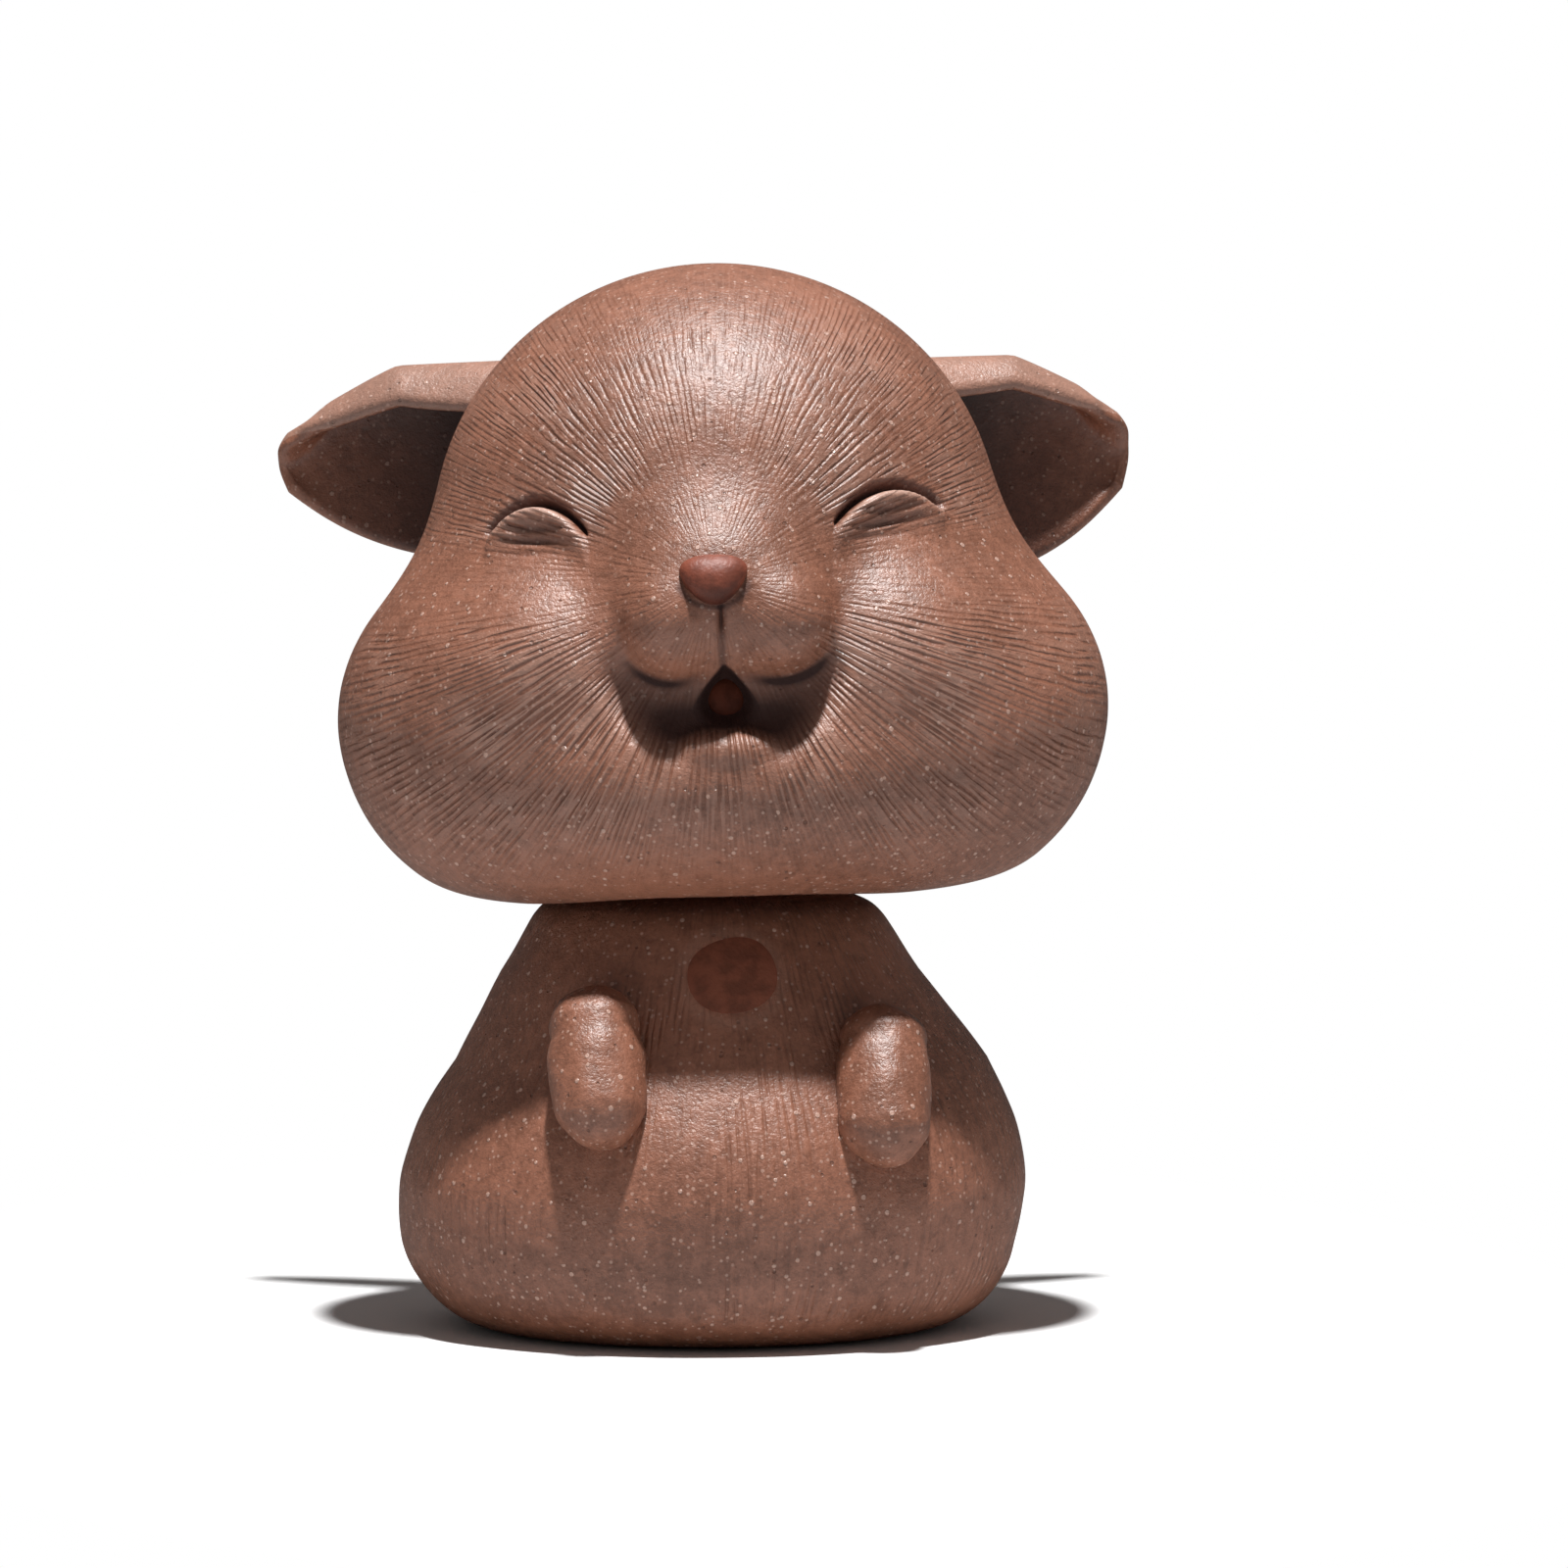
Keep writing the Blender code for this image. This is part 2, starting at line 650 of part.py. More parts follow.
def make_tongue(head_pivot):
    """Red lining at the back of the mouth, cut flat behind the lips."""
    tongue = mouth_ball("tongue", -SEAT_GAP)
    bm = bmesh.new()
    bm.from_mesh(tongue.data)
    lips = face_point(0.0, MOUTH_HEIGHT)
    cut = bmesh.ops.bisect_plane(
        bm,
        geom=bm.verts[:] + bm.edges[:] + bm.faces[:],
        plane_co=lips + Vector((0.0, TONGUE_DEPTH, 0.0)),
        plane_no=(0.0, -1.0, 0.0),
        clear_outer=True,
    )
    rim = [item for item in cut["geom_cut"] if isinstance(item, bmesh.types.BMEdge)]
    bmesh.ops.contextual_create(bm, geom=rim)
    bm.to_mesh(tongue.data)
    bm.free()
    tongue.data.materials.append(red_clay("tongue_clay"))
    return mount_on_head(tongue, head_pivot)


def make_head_floor(head_pivot):
    """Dished disc inside the head: a sloping wall that clears the neck and a level top with a round hole."""
    hole = HEAD_SPIGOT_RADIUS + SEAT_GAP
    wide = HEAD_OPENING_WIDTH / 2 + SEAT_GAP
    beyond = JAW_RADII[0]
    seat_top = FLOOR_SEAT_HEIGHT + FLOOR_THICKNESS
    dish_top = FLOOR_UNDERSIDE + FLOOR_THICKNESS
    profile = [
        (beyond, FLOOR_SEAT_HEIGHT),
        (beyond, seat_top),
        (wide + FLOOR_THICKNESS / 2, seat_top),
        (DISH_TOP_RADIUS + FLOOR_THICKNESS / 2, dish_top),
        (hole, dish_top),
        (hole, FLOOR_UNDERSIDE),
        (DISH_TOP_RADIUS - FLOOR_THICKNESS / 2, FLOOR_UNDERSIDE),
        (wide - FLOOR_THICKNESS / 2, FLOOR_SEAT_HEIGHT),
    ]
    bm = turned(profile, PLUG_SEGMENTS, closed=True)
    floor = add_object("head_floor", bm, brown_clay("head_floor_clay"))
    inner_wall = head_solid("head_floor_guide", -HEAD_WALL - SEAT_GAP, CAVITY_COLUMNS, CAVITY_ROWS)
    combine(floor, "INTERSECT", mount_on_head(as_guide(inner_wall), head_pivot))
    return mount_on_head(floor, head_pivot)


def ear_section(ear, share):
    """Lip, ridge and lower edge heights of the ear at a share of the way from root to tip."""
    ridge = ear["ridge"] - (ear["ridge"] - ear["tip"]) * share ** ear["droop"]
    lip = ridge - ear["fold"] * (1.0 - share * share)
    low = ear["tip"] - (ear["tip"] - ear["low"]) * math.sqrt(max(1.0 - share**EAR_FULLNESS, 0.0))
    return lip, ridge, low


def ear_point(ear, share, around):
    """Point of the ear's middle surface; around runs from the lip over the ridge to the lower edge."""
    lip, ridge, low = ear_section(ear, share)
    taper = math.sqrt(max(1.0 - share * share, 0.0))
    heights = (lip, ridge + EAR_ARCH * (ridge - lip), ridge, low)
    depths = [depth * taper for depth in (-EAR_LIP_FORWARD, EAR_RIDGE_BACK, EAR_CUP_DEPTH, EAR_RIDGE_BACK)]
    weights = ((1 - around) ** 3, 3 * around * (1 - around) ** 2, 3 * around**2 * (1 - around), around**3)
    height = sum(weight * value for weight, value in zip(weights, heights))
    depth = sum(weight * value for weight, value in zip(weights, depths))
    across = ear["side"] * (EAR_ROOT + (ear["reach"] - EAR_ROOT) * share)
    return Vector((HEAD_OFFSET + across, EAR_ROOT_BACK + EAR_SWEEP * share + depth, height))


def make_ear(name, ear, head_guide, head_pivot):
    """Folded leaf: a grid bent over the middle surface, thickened, and cut to fit the head."""
    bm = bmesh.new()
    bmesh.ops.create_grid(bm, x_segments=EAR_STEPS, y_segments=EAR_STEPS, size=1.0)
    for vert in bm.verts:
        share = EAR_TIP_SHARE * (vert.co.x + 1.0) / 2
        around = (vert.co.y + 1.0) / 2
        vert.co = ear_point(ear, share, around)
    leaf = add_object(name, bm, brown_clay(name + "_clay"))
    thicken = leaf.modifiers.new("Thickness", "SOLIDIFY")
    thicken.thickness = EAR_THICKNESS
    thicken.offset = 0.0
    combine(leaf, "DIFFERENCE", head_guide)
    return mount_on_head(leaf, head_pivot)


def add_pivot(name, parent=None):
    """Empty on the joint axes, at the middle of the spring's free length."""
    pivot = bpy.data.objects.new(name, None)
    pivot.empty_display_size = SPRING_FREE_LENGTH
    bpy.context.scene.collection.objects.link(pivot)
    if parent:
        pivot.parent = parent
    else:
        pivot.location = PIVOT
    return pivot


def ride_on(obj, pivot):
    """Parent a piece made in world coordinates to a pivot without moving it."""
    if obj.type == "MESH":
        obj.data.transform(Matrix.Translation(-PIVOT))
    else:
        obj.location = -PIVOT
    obj.parent = pivot
    return obj


def build_base():
    body_core = body_solid("body_core_guide", 0.0)
    body_guide = body_solid("body_clearance_guide", SEAT_GAP)
    make_body_shell()
    make_chest_disc(body_core)
    make_arm("arm_left", ARM_LEFT_ACROSS, ARM_LEFT_HEIGHT, body_guide)
    make_arm("arm_right", ARM_RIGHT_ACROSS, ARM_RIGHT_HEIGHT, body_guide)


def build_neck():
    twist_pivot = add_pivot("twist_pivot")
    nod_pivot = add_pivot("nod_pivot", twist_pivot)
    ride_on(make_neck_seat(), twist_pivot)
    ride_on(make_neck_spring(), nod_pivot)
    head_pivot = add_pivot("head_pivot", nod_pivot)
    head_pivot.rotation_euler = (0.0, -HEAD_LEAN, HEAD_TURN)
    return head_pivot


def build_head(head_pivot):
    head_guide = mount_on_head(
        as_guide(head_solid("head_clearance_guide", SEAT_GAP, HEAD_COLUMNS, HEAD_ROWS)), head_pivot
    )
    make_head_shell(head_pivot)
    make_head_floor(head_pivot)
    mount_on_head(make_head_seat(), head_pivot)
    make_ear("ear_left", EAR_LEFT, head_guide, head_pivot)
    make_ear("ear_right", EAR_RIGHT, head_guide, head_pivot)
    make_nose(head_pivot)
    make_tongue(head_pivot)


def main():
    clear_scene()
    build_base()
    build_head(build_neck())


main()
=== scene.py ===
"""Looks of a clay tea pet with a shaking head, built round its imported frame.

Sizes in the functions are millimetres unless a name says otherwise; finished meshes are in metres.
"""

import math

import bmesh
import bpy
import numpy as np
from bpy.props import FloatProperty, FloatVectorProperty, PointerProperty
from bpy.types import Operator, Panel, PropertyGroup
from mathutils import Euler, Matrix, Vector, noise


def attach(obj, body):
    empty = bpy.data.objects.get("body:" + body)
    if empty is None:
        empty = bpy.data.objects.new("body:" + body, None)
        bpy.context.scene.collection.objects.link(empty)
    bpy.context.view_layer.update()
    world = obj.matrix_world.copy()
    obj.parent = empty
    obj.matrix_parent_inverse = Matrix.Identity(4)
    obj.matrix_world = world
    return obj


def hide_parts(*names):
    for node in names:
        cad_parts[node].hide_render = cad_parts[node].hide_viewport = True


bl_info = {
    "name": "Clay Tea Pet",
    "version": (1, 0, 0),
    "blender": (4, 5, 0),
    "location": "View3D > Sidebar > Tea Pet",
    "description": "Dresses the packed frame of a clay tea pet with a shaking head",
    "category": "Object",
}

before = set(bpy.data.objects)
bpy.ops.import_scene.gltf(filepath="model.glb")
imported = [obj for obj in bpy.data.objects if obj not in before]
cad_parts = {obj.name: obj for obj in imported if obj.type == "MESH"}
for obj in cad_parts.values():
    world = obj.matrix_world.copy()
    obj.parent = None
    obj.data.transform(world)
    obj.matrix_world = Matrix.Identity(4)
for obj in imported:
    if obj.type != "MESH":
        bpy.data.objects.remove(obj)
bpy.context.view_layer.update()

MM = 0.001

# Rest pose of the head about the middle of its spring
PIVOT_HEIGHT = 46.2
HEAD_LEAN = math.radians(2.0)
HEAD_TURN = math.radians(-4.4)
HEAD_OFFSET = 0.85

# Head mesh: rings round the nose, much closer together over the face
HEAD_COLUMNS = 468
HEAD_RINGS = 200
FACE_SPREAD = 0.9
FACE_DIRECTION = Vector((-0.01, -0.94, 0.34)).normalized()
HEAD_CENTRE = np.array((0.0, 0.0, 56.0))
HEAD_REACH = 60.0
SOLVE_STEPS = 24

# Ellipsoids of the plain head, each a middle and half sizes
CROWN = ((0.0, 2.0, 66.0), (24.0, 23.0, 23.4))
CHEEKS = ((12.3, -2.5, 51.8), (20.0, 19.0, 16.6))
JAW = ((0.0, 0.8, 47.0), (28.7, 25.3, 14.0))
NAPE = ((0.0, 4.6, 56.0), (22.0, 21.0, 15.0))

# Ellipsoids of the face, and the sizes of the three that are placed by the mouth and nose
SWELLINGS = ((13.4, -13.5, 57.0), (8.8, 8.6, 7.4))
SNOUT = ((-0.4, -16.7, 62.6), (8.4, 8.2, 7.3))
LEFT_PAD = ((-4.3, -20.3, 60.4), (4.1, 5.5, 4.7))
RIGHT_PAD = ((4.5, -20.2, 60.3), (4.7, 5.5, 4.7))
RECESS_MIDDLE = (-0.1, -26.5, 54.0)
RECESS_SIZES = (8.9, 5.4, 4.4)
MOUTH_SIZES = (2.3, 3.6, 2.45)
LIP_SIZES = (4.4, 2.6, 1.95)
GROOVE_SIZES = (0.34, 2.2, 3.6)

# Hollow of the head, and the size of its opening below
HEAD_WALL = 3.4
HEAD_OPENING = (36.4, 32.8)
HEAD_BOTTOM = 36.2
OPENING_DEPTH = 14.0

# Nose, mouth and the groove between them, from the head's own middle plane
NOSE_PLACE = (-0.65, 63.6)
MOUTH_PLACE = (0.05, 54.0)
PHILTRUM = -0.15

# Closed eyes: base is the height of the ends of the arched crease
EYES = {
    "left": dict(across=-14.95, base=67.5, half_width=4.2, arch=2.6, tilt=0.0, skew=0.12),
    "right": dict(across=14.0, base=68.1, half_width=4.6, arch=2.35, tilt=0.45, skew=-0.1),
}
# Wrinkles under each lid: strength, height over the eye's base, middle and reach in half widths
WRINKLES = ((1.0, 0.3, 0.05, 0.6), (1.0, -0.6, -0.12, 0.62), (0.5, -1.5, -0.2, 0.5))
WRINKLE_WIDTH = 0.22

# Ears: how far the tip reaches and the heights of its edges
EARS = {
    "left": dict(
        side=-1.0, reach=37.9, ridge=81.0, tip=75.1, low=64.7, fold=3.6, blunt=1.3, sway=0.4
    ),
    "right": dict(
        side=1.0, reach=36.5, ridge=80.2, tip=74.6, low=61.2, fold=3.0, blunt=2.6, sway=2.1
    ),
}
EAR_ROOT = 15.0
EAR_ROOT_BACK = 5.5
EAR_SWEEP = 9.5
EAR_END = 0.975
EAR_DEPTHS = (-2.8, 0.7, 7.5, 0.7)

# Body: half width at each height, and how far its middle wanders sideways
BODY_PROFILE = (
    (17.0, 0.0), (19.6, 0.25), (21.6, 1.0), (23.2, 2.2), (24.5, 3.8), (25.5, 5.7), (26.1, 8.0),
    (26.4, 10.4), (26.45, 12.6), (26.0, 15.0), (25.25, 17.4), (24.1, 19.7), (22.75, 21.9),
    (21.35, 24.2), (19.9, 26.5), (18.5, 28.8), (16.95, 31.2), (15.5, 33.5), (14.6, 34.8),
    (13.6, 35.7), (12.1, 36.3), (10.4, 36.5), (9.2, 36.8), (8.8, 37.6), (8.8, 39.6), (8.5, 40.2),
    (7.9, 40.5),
)
BODY_WANDER = (
    (0.0, -0.3), (7.0, -0.5), (13.0, -0.15), (22.5, 0.6), (30.0, -0.45), (36.0, -0.7), (38.5, 0.0),
)
BODY_DEPTH_RATIO = 23.8 / 26.4
NECK_TOP = 40.5
NECK_CHAMFER = 0.3
NECK_BORE = 6.0
NECK_BORE_FLOOR = 33.8
DISC_HEIGHT = 30.6
DISC_STRETCH = 1.2
DISC_DOME = 0.75
DISC_SINK = 0.55

# Arms: middle of each, height of the crease under its paw and its turn in degrees
ARMS = {
    "left": dict(across=-11.3, height=23.5, crease=2.6, turn=-2.0),
    "right": dict(across=12.2, height=21.8, crease=3.4, turn=3.0),
}
ARM_REACH = 18.6
ARM_TILT = math.radians(30.0)
ARM_CREASE_DEPTH = 0.3
ARM_CREASE_WIDTH = 0.9
ARM_WOBBLE = 0.25
# Three readings of plain noise stand in for noise_vector, which isn't the same each run
WOBBLE_SHIFTS = (Vector((0.0, 0.0, 0.0)), Vector((31.4, 11.7, 5.3)), Vector((7.9, 23.1, 17.2)))

# How many strokes go round, and about how long each is: near the nose, further out, at the
# edge of the face, and on the body
NEAR_STROKES = (98.0, 3.5)
MIDDLE_STROKES = (184.0, 4.5)
FAR_STROKES = (320.0, 5.5)
BODY_STROKES = (190.0, 5.0)
BODY_STROKE_DEPTH = 0.1

# Stage, in metres
FLOOR_HALF_WIDTH = 0.25
KEY_PLACE = (0.02, -0.3, 1.6)
KEY_AIM = (0.0, 0.0, 0.05)
KEY_SIZE = 0.1
WHITE = (1.0, 1.0, 1.0, 1.0)
CAMERA_AZIMUTH = math.radians(-5.6)
CAMERA_ELEVATION = math.radians(3.4)
CAMERA_DISTANCE = 605.7 * MM
CAMERA_AIM_RIGHT = 5.8 * MM
CAMERA_AIM_HEIGHT = 45.6 * MM
CAMERA_LENS = 165.0
CAMERA_SENSOR = 36.0


class HeadSizes(PropertyGroup):
    """Carving of the head."""

    stroke_depth: FloatProperty(
        name="Stroke depth",
        description="Depth of the hair strokes scored in the clay",
        default=0.15 * MM,
        unit="LENGTH",
    )
    eye_depth: FloatProperty(
        name="Eye crease",
        description="Depth of the arched crease of each closed eye",
        default=1.25 * MM,
        unit="LENGTH",
    )
    ear_thickness: FloatProperty(
        name="Ear thickness",
        description="Thickness of the ear leaves",
        default=1.5 * MM,
        unit="LENGTH",
    )


class BodySizes(PropertyGroup):
    """Body, arms and chest disc."""

    arm_width: FloatProperty(
        name="Arm width",
        description="Width of each raised arm",
        default=8.0 * MM,
        unit="LENGTH",
    )
    arm_length: FloatProperty(
        name="Arm length",
        description="Length of each raised arm",
        default=14.0 * MM,
        unit="LENGTH",
    )
    disc_radius: FloatProperty(
        name="Disc radius",
        description="Half the width of the red disc in the chest",
        default=3.9 * MM,
        unit="LENGTH",
    )


class ClayColours(PropertyGroup):
    """Fired colours of the clays, and the near-black of painted shade."""

    brown: FloatVectorProperty(
        name="Brown clay",
        description="Main clay",
        subtype="COLOR",
        size=3,
        default=(0.268, 0.1, 0.054),
    )
    # Grooves are coloured darker: partly dirt in them, partly painted shade.
    groove: FloatVectorProperty(
        name="Groove",
        description="Clay at the bottom of the scored strokes",
        subtype="COLOR",
        size=3,
        default=(0.06, 0.018, 0.01),
    )
    # Painted shade: this near-black is blended in where shade falls, in the hollows, mouth,
    # creases, ear cups and under the nose.
    painted_shade: FloatVectorProperty(
        name="Stain",
        description="Clay in the deep hollows, where tea dries",
        subtype="COLOR",
        size=3,
        default=(0.045, 0.008, 0.003),
    )
    # Also the colour of painted light: lids, ear roofs and stroke ridges are blended towards it.
    sand: FloatVectorProperty(
        name="Sand",
        description="Pale sand grains in the clay",
        subtype="COLOR",
        size=3,
        default=(0.62, 0.4, 0.32),
    )
    red: FloatVectorProperty(
        name="Red clay",
        description="Nose, tongue and chest disc",
        subtype="COLOR",
        size=3,
        default=(0.24, 0.062, 0.034),
    )


class StageSizes(PropertyGroup):
    """Lamp and soft light."""

    key_power: FloatProperty(
        name="Key lamp",
        description="Power of the overhead lamp",
        default=39.5,
        unit="POWER",
    )
    sky: FloatProperty(
        name="Sky",
        description="Strength of the soft light from all round",
        default=0.105,
        min=0.0,
    )


class Tone:
    """One output of a material's nodes; arithmetic on it adds Math nodes."""

    def __init__(self, finish, socket):
        self.finish = finish
        self.socket = socket

    def __add__(self, other):
        return self.finish.math("ADD", self, other)

    __radd__ = __add__

    def __sub__(self, other):
        return self.finish.math("SUBTRACT", self, other)

    def __rsub__(self, other):
        return self.finish.math("SUBTRACT", other, self)

    def __mul__(self, other):
        return self.finish.math("MULTIPLY", self, other)

    __rmul__ = __mul__

    def __truediv__(self, other):
        return self.finish.math("DIVIDE", self, other)

    def __pow__(self, other):
        return self.finish.math("POWER", self, other)


class Finish:
    """A Principled material whose nodes are added one call at a time."""

    def __init__(self, name, roughness=0.46, specular=0.9):
        self.material = bpy.data.materials.new(name)
        self.material.use_nodes = True
        self.tree = self.material.node_tree
        self.shader = self.tree.nodes["Principled BSDF"]
        self.shader.inputs["Roughness"].default_value = roughness
        self.shader.inputs["Specular IOR Level"].default_value = specular

    def feed(self, socket, value):
        """Link a tone to a socket, or set a constant on it."""
        if isinstance(value, Tone):
            self.tree.links.new(value.socket, socket)
        else:
            socket.default_value = value

    def node(self, kind, settings=None, values=None, output=0):
        """Add a node, set its settings, feed its sockets and hand back one output."""
        made = self.tree.nodes.new(kind)
        for name, setting in (settings or {}).items():
            setattr(made, name, setting)
        for name, value in (values or {}).items():
            self.feed(made.inputs[name], value)
        return Tone(self, made.outputs[output])

    def math(self, operation, first, second=0.0):
        """One Math node."""
        return self.node("ShaderNodeMath", {"operation": operation}, {0: first, 1: second})

    def vector(self, operation, first, second=(0.0, 0.0, 0.0)):
        """One Vector Math node."""
        return self.node("ShaderNodeVectorMath", {"operation": operation}, {0: first, 1: second})

    def combine(self, x, y, z):
        """A vector from three values."""
        return self.node("ShaderNodeCombineXYZ", values={"X": x, "Y": y, "Z": z})

    def parts(self, vector):
        """The three values of a vector."""
        split = self.node("ShaderNodeSeparateXYZ", values={"Vector": vector}).socket.node
        return [Tone(self, socket) for socket in split.outputs]

    def step(self, value, low, high):
        """0 below low and 1 above high, eased between them; high may be the smaller."""
        return self.node(
            "ShaderNodeMapRange",
            {"interpolation_type": "SMOOTHSTEP"},
            {"Value": value, "From Min": low, "From Max": high},
        )

    def blend(self, share, first, second):
        """Mix two colours; the share is held between 0 and 1."""
        ends = {0: share, 6: colour(first), 7: colour(second)}
        return self.node("ShaderNodeMix", {"data_type": "RGBA"}, ends, output=2)

    def noise(self, vector, scale, detail=2.0, rough=0.5):
        """Smooth noise from 0 to 1, with its middle at 0.5."""
        values = {"Vector": vector, "Scale": scale, "Detail": detail, "Roughness": rough}
        return self.node("ShaderNodeTexNoise", values=values)

    def place(self, origin=(0.0, 0.0, 0.0), turn=(0.0, 0.0, 0.0)):
        """Object coordinates in millimetres, from an origin in millimetres."""
        where = self.node("ShaderNodeTexCoord", output="Object")
        start = [value * MM for value in origin]
        values = {"Vector": where, "Location": start, "Rotation": turn, "Scale": (MM, MM, MM)}
        return self.node("ShaderNodeMapping", {"vector_type": "TEXTURE"}, values)

    def surface(self, base, rough=None, height=None):
        """Feed the shader: colour, roughness and a height in millimetres."""
        self.feed(self.shader.inputs["Base Color"], colour(base))
        if rough:
            self.feed(self.shader.inputs["Roughness"], rough)
        if height:
            values = {"Height": height, "Strength": 1.0, "Distance": MM}
            self.feed(self.shader.inputs["Normal"], self.node("ShaderNodeBump", values=values))
        return self.material


def colour(value):
    """A link as it is, or a colour with its alpha."""
    return value if isinstance(value, Tone) else (value[0], value[1], value[2], 1.0)


def held(value):
    """The value held between 0 and 1."""
    return np.clip(value, 0.0, 1.0)


def soft_line(distance, width):
    """1 on a line, falling off softly beside it."""
    return np.exp(-((distance / width) ** 2))


def smooth_min(first, second, blend):
    """Join two forms with a fillet."""
    share = held(0.5 + 0.5 * (second - first) / blend)
    return second * (1.0 - share) + first * share - blend * share * (1.0 - share)


def smooth_max(first, second, blend):
    """Keep what lies in both forms, with its edge rounded."""
    return -smooth_min(-first, -second, blend)


def ellipsoid(points, centre, radii, power=2.0):
    """About the distance to an ellipsoid, negative inside; a higher power squares its corners."""
    scaled = np.abs((points - np.array(centre)) / np.array(radii)) + 1e-9
    length = (scaled**power).sum(axis=-1) ** (1.0 / power)
    slope = np.linalg.norm((scaled / length[..., None]) ** (power - 1.0) / np.array(radii), axis=-1)
    return (length - 1.0) / slope


def pair(points, centre, radii, blend):
    """The same ellipsoid on both sides of the middle plane."""
    left = ellipsoid(points, (-centre[0], centre[1], centre[2]), radii)
    return smooth_min(left, ellipsoid(points, centre, radii), blend)


def head_form(points):
    """Plain head: crown, cheeks, jaw and nape."""
    cheeks = pair(points, *CHEEKS, blend=6.0)
    form = smooth_min(ellipsoid(points, *CROWN), cheeks, blend=6.0)
    form = smooth_min(form, ellipsoid(points, *JAW), blend=4.0)
    return smooth_min(form, ellipsoid(points, *NAPE), blend=4.0)


def level_below(points, form):
    """Cut the head level at its underside, with a rounded edge."""
    return smooth_max(form, HEAD_BOTTOM - points[..., 2], blend=3.0)


def mouth_form(points):
    """Rounded triangle of a hollow, narrow at the top."""
    across, height = MOUTH_PLACE
    moved = points - np.array((across, -22.9, height))
    narrow = np.clip(1.0 - 0.26 * moved[..., 2:3], 0.2, 1.5)
    narrowed = np.concatenate((moved[..., :1] / narrow, moved[..., 1:]), axis=-1)
    return ellipsoid(narrowed, (0.0, 0.0, 0.0), MOUTH_SIZES)


def muzzle_recess(points):
    """Shaded hollow under the muzzle, wider at its top, bent with the face."""
    moved = points - np.array(RECESS_MIDDLE)
    across = moved[..., :1] / (1.0 + 0.05 * moved[..., 2:3])
    flat = moved[..., 1:2] - moved[..., :1] ** 2 / 46.0
    narrowed = np.concatenate((across, flat, moved[..., 2:3]), axis=-1)
    return ellipsoid(narrowed, (0.0, 0.0, 0.0), RECESS_SIZES, power=2.6)


def snout_form(points):
    """Round snout behind the nose and the pads."""
    return ellipsoid(points, *SNOUT)


def add_snout(points, form):
    """Join the snout, which slopes up to the forehead."""
    return smooth_min(form, snout_form(points), blend=4.6)


def pads_form(points):
    """Two round pads beside the mouth."""
    return smooth_min(ellipsoid(points, *LEFT_PAD), ellipsoid(points, *RIGHT_PAD), blend=0.5)


def add_pads(points, form):
    """Join the pads, whose tops flow into the snout and whose lower edges stay crisp."""
    muzzle = smooth_min(snout_form(points), pads_form(points), blend=2.6)
    return smooth_min(form, muzzle, blend=0.8)


def cheeky_form(points):
    """The head with a round swelling below each eye."""
    return smooth_min(head_form(points), pair(points, *SWELLINGS, blend=1.0), blend=3.5)


def whole_form(points):
    """The face with nothing carved out of it."""
    return level_below(points, add_pads(points, add_snout(points, cheeky_form(points))))


def face_form(points):
    """The face with its snout and the hollow under it, before pads and mouth."""
    hollowed = smooth_max(cheeky_form(points), -muzzle_recess(points), blend=2.4)
    return add_snout(points, hollowed)


def carved_form(points):
    """The face with its pads, lip and mouth."""
    across, height = MOUTH_PLACE
    form = add_pads(points, face_form(points))
    form = smooth_min(form, ellipsoid(points, (across, -22.1, height - 4.5), LIP_SIZES), blend=0.9)
    groove = ellipsoid(points, (PHILTRUM, -26.4, 58.9), GROOVE_SIZES)
    form = smooth_max(form, -groove, blend=0.35)
    form = smooth_max(form, -mouth_form(points), blend=0.3)
    return level_below(points, form)


def plain_form(points):
    """The head without its face."""
    return level_below(points, head_form(points))


def solve_radii(form, directions, grow=0.0):
    """Distance from the head's centre to the grown form along each direction, by halving."""
    near = np.zeros(len(directions))
    far = np.full(len(directions), HEAD_REACH)
    for _ in range(SOLVE_STEPS):
        middle = (near + far) / 2
        inside = form(HEAD_CENTRE + directions * middle[:, None]) < grow
        near = np.where(inside, middle, near)
        far = np.where(inside, far, middle)
    return near


def eye_relief(points, depth, across, base, half_width, arch, tilt, skew):
    """Height over the face and painted shading of one closed eye: crease, lid, brow and wrinkles.
    """
    share = (points[:, 0] - across) / half_width
    ease = np.sqrt(held(1.0 - share**2))
    ends = held(ease * 1.8)
    line = base + tilt * share + arch * (1.0 - share**2) * (1.0 + skew * share)
    above = points[:, 2] - line
    low = points[:, 2] - (base + tilt * share)
    folds = sum(
        strength * soft_line(low - height, WRINKLE_WIDTH) * soft_line(share - middle, reach)
        for strength, height, middle, reach in WRINKLES
    )
    lid = soft_line(above + 1.05, np.where(above > -1.05, 0.6, 1.5)) * ease
    height = 1.05 * lid - 0.3 * folds - depth * soft_line(above, 0.36) * ends
    # Painted highlight along the lid and painted light below it; painted shade in the crease and
    # the wrinkles.
    painted_shading = (0.8 * soft_line(above + 0.78, 0.33) + 0.1 * soft_line(above + 1.8, 0.8)) * ease
    painted_shading -= 0.65 * folds + soft_line(above - 0.1, 0.46) * ends
    front = points[:, 1] < 0.0
    return np.where(front, height, 0.0), np.where(front, painted_shading, 0.0)


